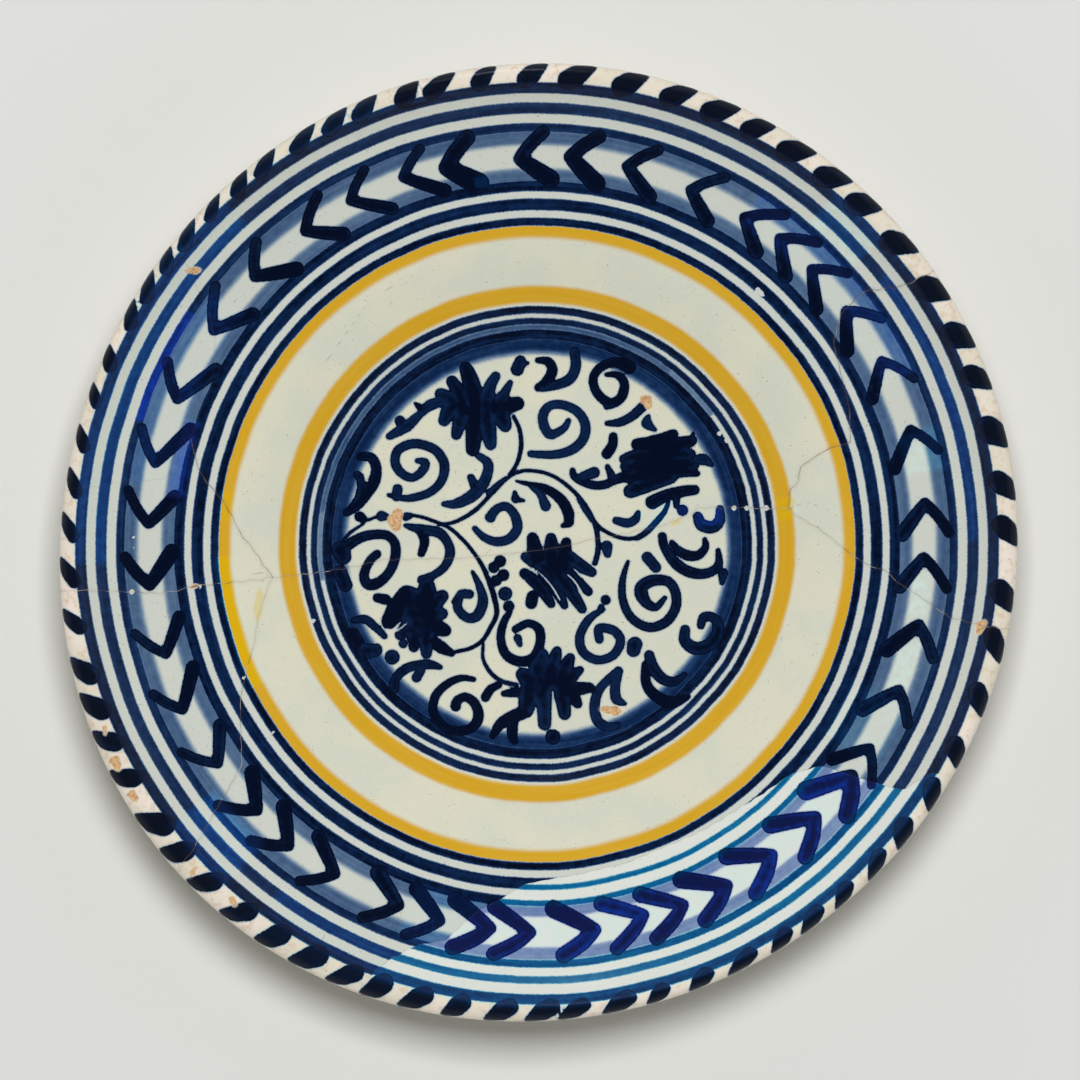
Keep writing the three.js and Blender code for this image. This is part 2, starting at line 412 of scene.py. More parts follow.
LOWER_LEFT_FLORET = [
    Brush([(-46.6, -24.4), (-44, -20.5), (-41, -16)], [2.4, 3.4, 3.0]),
    Brush([(-40.4, -15.4), (-38, -20), (-37, -25)], [2.2, 5.2, 6.0]),
    Brush([(-34.6, -13.2), (-35, -18), (-35.5, -23)], [2.5, 4.0, 5.4]),
    Brush([(-29.8, -16.4), (-33, -19), (-36, -22)], [2.0, 3.0, 4.6]),
    Brush([(-29.8, -21.9), (-33, -22), (-37, -22)], [1.8, 3.0, 4.2]),
    Brush([(-29, -27.2), (-33, -25.6), (-36, -24)], [2.0, 3.0, 4.2]),
    Brush([(-43, -28.5), (-40.5, -26), (-38, -24)], [1.8, 2.6, 3.4]),
    Brush([(-42.1, -31.3)], [1.5]),
    Brush([(-38.8, -32.5), (-38.2, -28)], [1.6, 2.6]),
    Brush([(-34.8, -34.3), (-34.8, -28)], [1.8, 3.0]),
    Brush([(-26.8, -34.4), (-30, -32.6), (-33.5, -30)], [1.1, 2.0, 1.8]),
]
LOWER_FLORET = [
    Brush([(-4.6, -41), (-2, -43), (1, -45)], [2.1, 3.4, 4.2]),
    Brush([(1.6, -34.8), (0.8, -39), (0.5, -45)], [2.0, 3.4, 4.8]),
    Brush([(6.3, -33.7), (5, -38), (4, -43)], [1.5, 2.6, 4.4]),
    Brush([(10.4, -35.9), (8.6, -40), (7, -44)], [1.6, 2.6, 3.8]),
    Brush([(13.6, -39.6), (10.5, -42), (8, -45)], [1.2, 2.3, 3.6]),
    Brush([(16.6, -45.2), (12.5, -45.6), (9, -46)], [1.6, 2.3, 3.2]),
    Brush([(12.8, -50.3), (11, -47.5), (9, -45)], [1.5, 2.3, 3.2]),
    Brush([(8.7, -53.4), (8.2, -49), (7.5, -45)], [2.0, 2.5, 3.2]),
    Brush([(2.4, -56.6), (2.2, -51), (1.5, -46)], [2.1, 2.4, 4.2]),
    Brush([(-3.4, -52), (-2.6, -48), (-1, -44)], [2.5, 3.2, 4.2]),
]
FLORETS = UPPER_LEFT_FLORET + RIGHT_FLORET + MIDDLE_FLORET + LOWER_LEFT_FLORET + LOWER_FLORET

STEMS = [
    Brush([(-40.5, 9.3), (-36, 8.4), (-31.5, 6.8), (-27.5, 5), (-23.5, 1.5), (-20.5, -2), (-17.6, -6.2),
           (-15.4, -11), (-13.4, -17), (-12.7, -22), (-14.7, -26.4), (-17.2, -30.4), (-21, -32.8),
           (-26, -34)], [0.55, 0.6, 0.6, 0.9, 0.7, 0.6]),
    Brush([(-31, 6.1), (-27, 6.6), (-23, 8.3), (-19, 11), (-15.8, 14.2), (-12.3, 17.8), (-9, 21),
           (-5, 22.9), (0, 22.9), (5, 21.4), (10, 18), (14, 13.8), (17, 9), (18.8, 4), (19.2, -2),
           (18.2, -6)], [0.55, 0.7, 0.6, 0.6, 0.75, 0.9]),
    Brush([(-8.8, 21.6), (-6.2, 25.6), (-5, 31), (-5.5, 36), (-7.4, 40.2)], [0.6, 0.75, 0.6]),
    Brush([(-15.2, 16.1), (-12.5, 18.6), (-9.8, 20.8)], [1.0, 0.9, 0.6]),
    Brush([(12.8, 14.2), (15.3, 10.5), (17.4, 7.2)], [0.5, 0.9, 0.7]),
    Brush([(17.6, 7.6), (20, 5), (24, 2.7), (28, 1.7), (31.5, 1.9)], [0.7, 0.6, 0.7]),
    Brush([(31.5, 1.9), (34, 3.4), (37.2, 6.6), (40, 10), (41.3, 13)], [0.9, 1.1, 0.7]),
    Brush([(-16.9, -31.5), (-17, -36), (-15, -40), (-11.5, -43), (-6.5, -44.4)], [0.5, 0.65, 0.8]),
    Brush([(-53.5, 7.4), (-50.5, 8.6)], [0.5, 0.5]),
    Brush([(-54.5, 6.4), (-58.5, 3.8), (-61, 1.2)], [0.4, 0.6, 0.6]),
]

SPIRALS = [
    Brush([(-37.6, 26.2), (-35.2, 25.8), (-35.6, 23.8), (-37.6, 21.6), (-39.9, 20.9), (-43, 22.6),
           (-44.7, 26), (-43.4, 29.8), (-38.6, 31.6), (-33, 30.2), (-30, 27.2), (-29.1, 23.5),
           (-30.3, 19.5), (-33.5, 16.4), (-38, 14.8), (-42, 14.4), (-46.6, 15.4)],
          [0.9, 1.5, 1.3, 1.5, 1.5, 1.5, 1.6, 1.4, 1.3, 0.7]),
    Brush([(9.9, 38.8), (8.7, 36.7), (6.2, 35), (3.9, 34.6), (2.1, 37.5), (2, 41), (4.3, 43.6),
           (8.5, 43.7), (12.9, 41.5), (15.2, 37.5), (14.5, 33), (11, 29.7), (6, 28.2), (0, 28.2),
           (-2, 28.4)], [0.9, 1.3, 1.6, 1.6, 1.4, 1.5, 1.6, 1.6, 1.3, 1.1]),
    Brush([(21.8, 53.3), (25.2, 53.2), (27.4, 50.8), (26.8, 46.7), (24, 44.4), (21, 45.4), (18.3, 48.6),
           (17.8, 52.6), (20.5, 56), (25, 57.2), (29, 55.6)], [0.7, 1.4, 1.6, 1.6, 1.5, 1.4, 1.6, 2.3]),
    Brush([(28.6, -5.6), (27, -11), (26.9, -17), (29.5, -23), (35, -26.2), (40.5, -24.6), (43.6, -20),
           (43.5, -15), (41, -11.7), (36, -11.6), (32.8, -14), (34, -18), (37.3, -19.9), (40.2, -17)],
          [0.6, 1.2, 1.4, 1.5, 1.6, 1.6, 1.6, 1.9, 2.2, 1.4, 0.8]),
    Brush([(20.8, -20.6), (16.4, -23.6), (13.5, -29), (14.5, -34), (19, -36.5), (24, -35), (26.3, -30.5),
           (24, -27.2), (19.6, -26.6), (19.6, -30)], [0.8, 1.4, 1.5, 1.5, 1.4, 1.5, 1.5, 1.5, 1.4]),
    Brush([(-8.7, -21.5), (-10.6, -25), (-11.4, -30), (-9.6, -35), (-5, -37), (-1, -35.6), (1, -31),
           (0.6, -26.8), (-2.8, -25), (-6.8, -26.8)], [1.0, 1.3, 1.4, 1.6, 1.7, 1.5, 1.5, 1.3, 1.2]),
    Brush([(-20.3, -8.8), (-18.2, -13), (-17, -18), (-18.8, -22.5), (-22, -23.2), (-25, -20),
           (-24, -16), (-21.3, -15.8)], [0.6, 1.2, 1.7, 1.7, 1.5, 1.5, 1.5, 1.5]),
    Brush([(-14.7, 8.4), (-12.7, 11), (-9.6, 11.8), (-7, 9), (-6.2, 5), (-8.5, 1.8), (-12.5, 0.7),
           (-16.5, 2), (-19.6, 4.9)], [1.7, 1.4, 1.4, 1.6, 1.6, 1.5, 1.3, 0.9]),
    Brush([(-50.4, -3.2), (-52.5, -5.2), (-54.4, -9.4), (-53.4, -12.6), (-50, -12.2), (-46.6, -9),
           (-44.7, -4.5), (-44.7, 0), (-47, 2.6), (-51, 3), (-55.5, 2), (-60.5, -1)],
          [1.4, 1.4, 1.6, 1.8, 1.5, 1.6, 1.5, 1.5, 1.6, 1.8]),
    Brush([(-19.9, -42.6), (-24, -42.2), (-28.5, -44.2), (-32, -48), (-32.6, -53), (-29, -57.6),
           (-24, -58.8), (-20, -57.4), (-18.4, -54), (-19.7, -50), (-22.5, -48.2), (-25, -49.2),
           (-25.6, -51)], [0.8, 1.2, 1.4, 1.6, 1.6, 1.7, 1.7, 1.5, 1.4, 1.7]),
]

LEAVES = [
    # Upper left.
    Brush([(-29.5, 45), (-33.8, 43.6), (-37, 40.7), (-41, 37.1), (-46.4, 33.9)], [1.6, 1.8, 1.3, 1.9, 1.2]),
    Brush([(-38.4, 44.3), (-36.4, 42.6)], [0.5, 1.4]),
    Brush([(-43.2, 38.8), (-42.2, 36.8)], [1.7, 1.6]),
    Brush([(-43.9, 17.3), (-44.2, 15)], [1.6, 1.6]),
    Brush([(-18.4, 27.7), (-15.5, 25.5), (-15.8, 21.5), (-18.2, 17.2), (-22, 14.2), (-26, 12.6),
           (-29.3, 12.6)], [1.1, 1.6, 1.8, 2.0, 1.6, 0.9]),
    Brush([(-20.8, 20.9), (-19.4, 18)], [1.2, 1.6]),
    Brush([(-55.5, 27.5), (-52.4, 27.3), (-50.7, 24.5), (-51, 20.5), (-53.5, 16.5), (-57, 12.2), (-60, 9.8)],
          [1.5, 1.6, 1.7, 2.1, 2.0, 1.3]),
    Brush([(-56.6, 21.8), (-55, 19.5), (-55.6, 15.5), (-57.4, 12.4)], [1.4, 1.8, 1.6, 1.2]),
    Brush([(-55.8, 8.6), (-54.6, 7.8)], [1.7, 1.3]),
    Brush([(-48.9, 8.8), (-47.6, 8.6)], [1.7, 1.2]),
    Brush([(-41.2, 8.6), (-40, 8.9)], [1.4, 1.0]),
    Brush([(-41.4, 5.8), (-36.5, 4.6), (-31, 3.6), (-28.2, 0.6), (-27.4, -3), (-29, -7), (-32.5, -9.8),
           (-36, -11.4)], [0.7, 1.7, 1.7, 1.5, 1.6, 1.4, 1.3, 1.7]),
    Brush([(-36.6, 4.2), (-35.4, 0.8), (-36.4, -3)], [1.6, 1.5, 1.2]),
    # Left and lower left.
    Brush([(-50.2, -16.9), (-47.6, -17.5)], [1.5, 1.7]),
    Brush([(-61.8, -2), (-61, -4)], [3.1, 2.6]),
    Brush([(-62, -9), (-60.2, -13)], [2.4, 2.2]),
    Brush([(-57.6, -24), (-54, -23.8), (-50.6, -26.4), (-48, -29)], [1.2, 1.5, 1.3, 1.0]),
    Brush([(-58, -28.5), (-56.6, -31)], [2.4, 2.4]),
    Brush([(-54.6, -33.8), (-50.8, -33.4)], [2.7, 2.2]),
    Brush([(-45.6, -35.6)], [2.4]),
    Brush([(-45, -45.4), (-44.6, -42.6), (-42.4, -40), (-39, -38.4), (-34, -37.9), (-30.4, -38.8)],
          [1.8, 1.6, 1.6, 1.5, 1.6, 0.8]),
    Brush([(-37.9, -42), (-36.4, -39.6)], [1.6, 1.4]),
    Brush([(-16.2, -48.2), (-14.5, -45.6), (-12, -44.4)], [1.5, 1.4, 1.1]),
    Brush([(-10.4, -47.1), (-6.5, -46.6)], [1.0, 1.7]),
    Brush([(-26.2, -18.2), (-25, -17.4)], [0.8, 1.4]),
    # Beads along the stem.
    Brush([(-13.6, -7.4)], [1.8]),
    Brush([(-11.6, -5.4)], [1.9]),
    Brush([(-12.9, -11.5)], [1.8]),
    Brush([(-10.6, -9.8)], [1.9]),
    Brush([(-10, -15.6)], [2.2]),
    Brush([(-8.9, -19.6)], [1.8]),
    Brush([(-6.1, -29.6), (-5.4, -31.6)], [1.3, 0.9]),
    # Middle and top.
    Brush([(-7, 16.2), (-6.8, 14.2)], [0.7, 1.4]),
    Brush([(-6.5, 14), (-4.3, 13.7)], [1.1, 0.6]),
    Brush([(-6.5, 19.8), (-2, 18.7), (3, 17.3), (7.5, 14), (9.8, 10), (10, 6.8)],
          [0.4, 0.9, 1.4, 1.7, 1.8, 1.6]),
    Brush([(10, 6.4), (8.2, 5.8)], [1.2, 0.8]),
    Brush([(-2, 18.2), (1, 15.7), (2.7, 12)], [0.7, 1.2, 1.7]),
    Brush([(-5.2, 57.6), (-6.2, 55)], [1.8, 2.1]),
    Brush([(-5, 56.4), (-2.8, 57)], [1.4, 0.5]),
    Brush([(0.2, 57.8), (3.5, 57.4), (4.8, 54.5), (3, 51), (0.4, 49.2)], [0.9, 1.5, 1.7, 1.7, 1.3]),
    Brush([(11.8, 60.5), (12.2, 56), (10.4, 52), (6.5, 50.2), (1.4, 49)], [1.7, 1.7, 1.7, 1.6, 1.2]),
    Brush([(22, 43.4), (23.6, 44.2)], [1.2, 1.6]),
    Brush([(22, 38), (26, 38.3), (30, 40.3), (33.2, 43.2)], [0.8, 1.4, 1.5, 1.6]),
    Brush([(35.2, 40.4), (34.6, 38), (37.2, 35.9)], [0.5, 1.8, 0.6]),
    Brush([(24, 33.8), (23.7, 31), (22, 28.4)], [1.4, 1.6, 1.7]),
    # Right.
    Brush([(11.2, 23.2), (11.9, 21.2), (16.5, 18.8), (21, 18.6), (24.6, 20.2), (28, 21.4)],
          [0.9, 1.4, 1.4, 1.4, 1.8]),
    Brush([(13, 20.8), (18, 22.5)], [1.3, 1.8]),
    Brush([(22.2, 24.3), (23.6, 21.2)], [0.9, 1.4]),
    Brush([(24.9, 7.4), (28.4, 6.6), (31, 7.8), (31.8, 9.9)], [1.2, 1.5, 1.4, 0.8]),
    Brush([(45.8, 10.6)], [1.8]),
    Brush([(50.6, 8.6), (51.8, 6.1), (55, 5.3), (57.4, 7.2), (57.6, 11)], [1.6, 2, 2, 1.8, 1.3]),
    Brush([(21.9, -0.8), (22.2, -3.2)], [1.9, 1.2]),
    Brush([(34.7, -4.2), (37.4, -7.4)], [1.8, 1.7]),
    Brush([(39.4, 2.4), (40.2, -1), (43.6, -6), (48, -8.8), (53, -9.3), (57, -7), (57, -2)],
          [1.4, 1.5, 1.8, 1.8, 1.6, 1.5, 0.8]),
    Brush([(42.4, 0.6), (44.4, -2), (47.5, -3.6), (50.8, -3.5), (53, -1), (52.8, 1.4)],
          [0.8, 1.5, 1.7, 1.5, 1.2, 0.8]),
    Brush([(58.6, -9.2), (58.2, -12.2)], [1.7, 0.9]),
    Brush([(21.6, -17.6)], [1.6]),
    Brush([(20.2, -19.8), (19.8, -20.6)], [1.0, 0.9]),
    Brush([(30.8, -31.6), (30.4, -33.4)], [2.4, 2.2]),
    Brush([(46.6, -27), (46.6, -30.5), (50, -32.9), (54.5, -31.5), (57, -27.5), (56, -23.6), (52.6, -22.9),
           (51.6, -25.6)], [1.6, 1.9, 2.1, 2.2, 2.1, 1.7, 1.5, 1.3]),
    Brush([(35.3, -35), (36.5, -39), (39.5, -42.4), (43, -43.3), (46.6, -41)], [1.6, 2.0, 1.8, 1.6, 0.9]),
    Brush([(34.3, -38), (34.3, -43.5), (37, -47.5), (42, -49.8), (47.4, -48)], [1.4, 1.6, 1.9, 2.2, 1.0]),
    Brush([(25.5, -40), (22, -43), (19.3, -46.4), (18.1, -51), (19, -55.5), (22, -57.5), (25.6, -57)],
          [1.3, 1.4, 1.6, 1.7, 1.7, 1.2]),
    Brush([(25.6, -40), (24.6, -45), (25, -48.8), (27.6, -50.2)], [1.5, 1.6, 1.7, 0.7]),
    Brush([(5, -60.8)], [2.5]),
    Brush([(-3.5, -52.6), (-8, -54.6), (-11.4, -56.6), (-14, -60.4)], [2.2, 2.1, 1.8, 1.2]),
    Brush([(-7.6, -55), (-7.8, -60), (-7, -62)], [1.8, 1.8, 1.3]),
]

# Thin lines inside the florets where the glaze shows between two strokes.
GAPS_BETWEEN_STROKES = [
    Brush([(-4.4, -6.2), (0.4, -8.8), (4.4, -13), (7.2, -17.6)], [0.12, 0.22, 0.3]),
    Brush([(9.6, -9.6), (12, -12), (15, -17)], [0.15, 0.3, 0.4]),
    Brush([(11.4, -7.6), (14, -10.2)], [0.12, 0.35]),
    Brush([(5, -46.4), (5, -53.6)], [0.2, 0.5]),
    Brush([(34.4, 15), (40, 17.4), (47, 19.4)], [0.3, 0.3, 0.3]),
    Brush([(-47, -27), (-44, -27.2), (-40.6, -24.6)], [0.4, 0.35, 0.12]),
    Brush([(-54, 23.4), (-53.6, 20)], [0.9, 0.5]),
]


@dataclass
class Border:
    """The arrowheads on the flange and the rope strokes on the lip, in millimetres and degrees.

    An arrowhead's legs lag behind its tip. Each leg stretch holds two bearings, and how many times longer
    the legs are between them.
    """

    arrow_tips: list[float] = field(default_factory=lambda: [
        6, 17, 28, 37, 45, 51.5, 57.5, 66.5, 76.5, 85, 92.5, 103.5, 110, 118.5, 126.5, 136.5, 146.5, 158,
        168, 177, 186, 196.5, 205, 214.5, 223.5, 230.5, 238.5, 249, 255.5, 263, 269, 278.5, 286, 292, 299,
        307, 315.5, 323.5, 328.5, 338, 348, 358,
    ])
    rope_strokes: list[float] = field(default_factory=lambda: [
        2, 7.5, 14, 21, 26.5, 33, 40, 46.5, 51.5, 57, 62.5, 67.5, 73, 79, 85.5, 91, 97, 102.5, 106.5, 112,
        116, 120.5, 126, 130, 134.5, 139, 143, 147, 151, 157, 162, 167.5, 173, 178.5, 184, 190, 196, 200.5,
        205, 210, 216.5, 221, 226, 231.5, 236.5, 241.5, 246.5, 250.5, 255.5, 260.5, 266, 271, 275, 280.5,
        285.5, 291, 296.5, 302, 306.5, 311.5, 317, 322, 328, 334, 341, 348, 354,
    ])
    arrow_outer: float = 129.2
    arrow_tip: float = 121.8
    arrow_inner: float = 114.6
    outer_half: float = 1.75
    inner_half: float = 2.15
    outer_lag: float = 4.0
    inner_lag: float = 4.9
    leg_stretches: tuple[tuple[float, float, float], ...] = ((140, 175, 1.2), (60, 110, 0.9))
    bold_tips: dict[float, float] = field(default_factory=lambda: {
        66.5: 1.1, 76.5: 1.2, 85: 1.2, 92.5: 1.25, 103.5: 1.6, 186: 1.1, 348: 1.25, 338: 1.1,
    })
    newer_from: float = 260.0
    newer_to: float = 326.0
    newer_outer_lag: float = 4.9
    newer_inner_lag: float = 5.8
    newer_half: float = 2.6
    rope_root: float = 145.2
    rope_belly: float = 146.6
    rope_tail: float = 149.8
    rope_half: float = 3.0
    rope_wider_east: float = 0.14
    rope_end: float = 1.3
    seed: int = 7

    @staticmethod
    def at(radius: float, degrees: float) -> Point:
        """Find the place at a radius and a bearing."""
        angle = math.radians(degrees)
        return (radius * math.cos(angle), radius * math.sin(angle))

    def arrow(self, tip: float, rng: np.random.Generator) -> list[tuple[Brush, bool]]:
        """Lay the two legs of one arrowhead, which meet at its tip.

        Args:
            tip: The tip's bearing.
            rng: The source of the small differences between arrowheads.

        Returns:
            The legs, each with whether it is newer paint.
        """
        newer = self.newer_from < tip < self.newer_to
        wide, lag, reach = rng.uniform(0.9, 1.12), rng.uniform(-0.5, 0.5), rng.uniform(-0.9, 0.9)
        wide *= self.bold_tips.get(tip, 1.0)
        outer_half, inner_half = self.outer_half * wide, self.inner_half * wide
        longer = next((times for start, end, times in self.leg_stretches if start < tip < end), 1.0)
        outer_lag, inner_lag = (self.outer_lag + lag) * longer, (self.inner_lag - lag) * longer
        if newer:
            outer_half = inner_half = self.newer_half * wide
            outer_lag, inner_lag = self.newer_outer_lag + lag / 2, self.newer_inner_lag - lag / 2
        tip_radius, tip_half = self.arrow_tip + reach, inner_half * 0.8
        corner = self.at(tip_radius, tip)
        outer = self.at(self.arrow_outer, tip - outer_lag)
        outer_middle = self.at((tip_radius + self.arrow_outer) / 2, tip - outer_lag * 0.42)
        inner = self.at(self.arrow_inner, tip - inner_lag)
        inner_middle = self.at((tip_radius + self.arrow_inner) / 2, tip - inner_lag * 0.45)
        return [
            (Brush([outer, outer_middle, corner], [outer_half, outer_half, tip_half], steps=4), newer),
            (Brush([corner, inner_middle, inner], [tip_half, inner_half, inner_half * 1.1], steps=4), newer),
        ]

    def strokes(self) -> list[tuple[Brush, bool]]:
        """Give every stroke of the border, each with whether it is newer paint."""
        rng = np.random.default_rng(self.seed)
        strokes = []
        for tip in self.arrow_tips:
            strokes += self.arrow(tip, rng)
        for bearing in self.rope_strokes:
            wide, lean = rng.uniform(0.88, 1.12), rng.uniform(-0.3, 0.3)
            half = self.rope_half * wide * (1 + self.rope_wider_east * math.cos(math.radians(bearing)))
            root = self.at(self.rope_root, bearing + 0.5 + lean)
            belly = self.at(self.rope_belly, bearing - 0.3)
            tail = self.at(self.rope_tail, bearing - 1.9 - lean)
            strokes.append((Brush([root, belly, tail], [half * 0.95, half, self.rope_end], steps=4), False))
        return strokes


@dataclass
class Patch:
    """A ragged oval patch on the face, such as a flake, in millimetres and degrees."""

    centre: Point
    half_length: float
    half_width: float
    bearing: float

    def inside(self, places: np.ndarray) -> np.ndarray:
        """Say how far inside the patch's outline each place lies, in millimetres."""
        turn = math.radians(self.bearing)
        east, north = places[:, 0] - self.centre[0], places[:, 1] - self.centre[1]
        along = east * math.cos(turn) + north * math.sin(turn)
        across = north * math.cos(turn) - east * math.sin(turn)
        ragged = 1 + 0.16 * np.sin(np.arctan2(across, along) * 3 + self.bearing)
        return (ragged - np.hypot(along / self.half_length, across / self.half_width)) * self.half_width


# Where the glaze has flaked off and bare tan clay shows.
FLAKES = [
    Patch((-44.6, 7.5), 3.6, 2.2, 78),
    Patch((34.5, 44.9), 2.4, 1.6, 125),
    Patch((23.8, -52.4), 3.4, 1.4, -8),
    Patch((-107.6, 85.6), 2.4, 1.0, 5),
    Patch((138.9, -25.8), 2.4, 1.4, 60),
    Patch((-130.9, -67.8), 2.4, 1.4, 118),
    Patch((-125.4, -78), 2.1, 1.1, 130),
    Patch((-106.5, -101.5), 1.5, 0.9, 60),
    Patch((-94.8, -110.9), 1.7, 0.9, 130),
    Patch((-134.5, -57.6), 1.5, 0.7, 100),
    Patch((-107.3, -13.2), 1.3, 0.6, 10),
]

# Pale yellow filler beside the joint on the left, and at its right end.
FILLER_SPOTS = [
    Patch((-87.6, -19.5), 5.2, 1.3, 84),
    Patch((44, 7), 2.0, 0.8, 30),
    Patch((80.5, 13), 1.6, 0.8, 75),
]

# Small round patches where the paint has flaked and the white glaze under it shows: place and half width. The
# two at -126.5 east are painted highlights, white dabs that stand in for glints on the glaze.
WHITE_SPOTS_AND_GLINTS = [
    (-107.3, -13.2, 1.0), (-105.6, -13.4, 0.7), (-127, -15, 0.9), (-126.5, 2, 0.6), (-126.5, -1.5, 0.5),
    (69.4, 79.4, 1.2), (70.8, 78.2, 0.8), (-70.3, -24.2, 0.8), (-82.8, -59.3, 0.7), (-92, -42, 0.7),
    (79.4, 17, 0.8), (62, 11.3, 0.9), (66, 11.3, 0.9), (72, 11.3, 1.0), (13, -0.5, 0.7), (14.5, -1, 0.8),
    (16.5, -5, 0.6), (57.5, 34.8, 0.9), (59.5, 32.5, 0.8),
]


@dataclass
class RetouchArc:
    """A stretch between two bearings and two radii that a restorer painted over in brighter colours.

    Its strength is how far the old blue turns to teal, or to royal blue as far as royal says, and its
    white is how far the white between turns minty. Its edges fade over the feather, in millimetres.
    """

    start: float
    end: float
    inner: float
    outer: float
    royal: float = 0.0
    strength: float = 1.0
    white: float = 0.8
    feather: float = 2.0

    def cover(self, radius: np.ndarray, bearing: np.ndarray) -> np.ndarray:
        """Say how much of the retouching lies at each radius and bearing in degrees, from 0 to 1."""
        middle, half = (self.start + self.end) / 2, (self.end - self.start) / 2
        turned = np.abs((bearing - middle + 180) % 360 - 180)
        edges = [(half - turned) * radius * math.pi / 180, radius - self.inner, self.outer - radius]
        return np.clip(np.minimum.reduce(edges) / self.feather, 0, 1)


RETOUCH_ARCS = [
    RetouchArc(146, 163, 128.4, 133.6, royal=1.0, feather=1.2, white=0.0),
    RetouchArc(160, 173, 111.5, 117.5, royal=0.9, strength=0.9, feather=1.2, white=0.0),
    RetouchArc(141.5, 172, 116, 130, royal=0.6, strength=0.4, white=0.1),
    RetouchArc(132, 183, 133.6, 146, royal=0.3, strength=0.75, white=0.1),
    RetouchArc(108, 152, 143, 151, strength=0.5, white=0.0),
    RetouchArc(233, 262, 143, 151, strength=0.5, white=0.0),
    RetouchArc(41, 50, 131, 145, royal=0.2, strength=0.6, white=0.7),
    RetouchArc(24, 58, 118, 131, royal=0.75, strength=0.55, white=0.2),
    RetouchArc(10, 17, 117, 131, royal=0.2, strength=0.5, white=0.7),
    RetouchArc(97.4, 100.0, 112.6, 117.0, strength=0.9, feather=1.0),
    RetouchArc(0, 38, 134, 139.5, royal=0.45, strength=0.6, white=0.0),
    RetouchArc(336, 346, 117, 126, strength=0.0, white=0.8),
    RetouchArc(348.5, 356, 116, 125, strength=0.0, white=0.9),
    RetouchArc(326, 337, 106, 128, strength=0.2, white=0.4),
    RetouchArc(217, 228, 126, 146, royal=0.4, strength=0.7, white=0.2),
    RetouchArc(233, 262, 133.6, 144, royal=0.4, strength=0.5, white=0.1),
    RetouchArc(250, 262, 112, 131, royal=0.5, strength=0.5, white=0.2),
    RetouchArc(182, 207, 95, 101.2, strength=0.9, feather=1.0),
    RetouchArc(170, 176, 95, 101.2, strength=0.6, feather=1.0),
    RetouchArc(5, 11, 75.5, 83, strength=0.8, feather=1.5),
    RetouchArc(6, 18, 33, 45, strength=0.9, white=0.0, feather=1.0),
    RetouchArc(5, 13, 50, 60, royal=0.8, strength=0.9, white=0.0),
    RetouchArc(10, 16, 44, 50, royal=0.8, strength=0.9, white=0.0),
]

# Thin blue that ran over the white between two rings: its strength is its load of paint.
WASHED_OVER = [
    RetouchArc(52, 172, 67.0, 69.8, strength=0.6, feather=0.7),
    RetouchArc(36, 190, 67.0, 69.8, strength=0.44, feather=0.7),
]

# Fine scratches and cracks that don't go through, as routes over the face.
HAIRLINES = [
    [(-42.4, 83.3), (-54, 74.6), (-71.3, 50)],
    [(-66, -122), (-68.2, -125), (-69, -127)],
    [(-119, 74), (-121, 76.5)],
    [(79, 11), (84, 13), (88, 12.2), (97, 7.5), (104, 4)],
    [(-83, -10.5), (-86, -9), (-90, -9.6)],
]


def clamp_smooth(share: np.ndarray) -> np.ndarray:
    """Ease a share from 0 to 1, flat beyond both ends."""
    share = np.clip(share, 0, 1)
    return share * share * (3 - 2 * share)


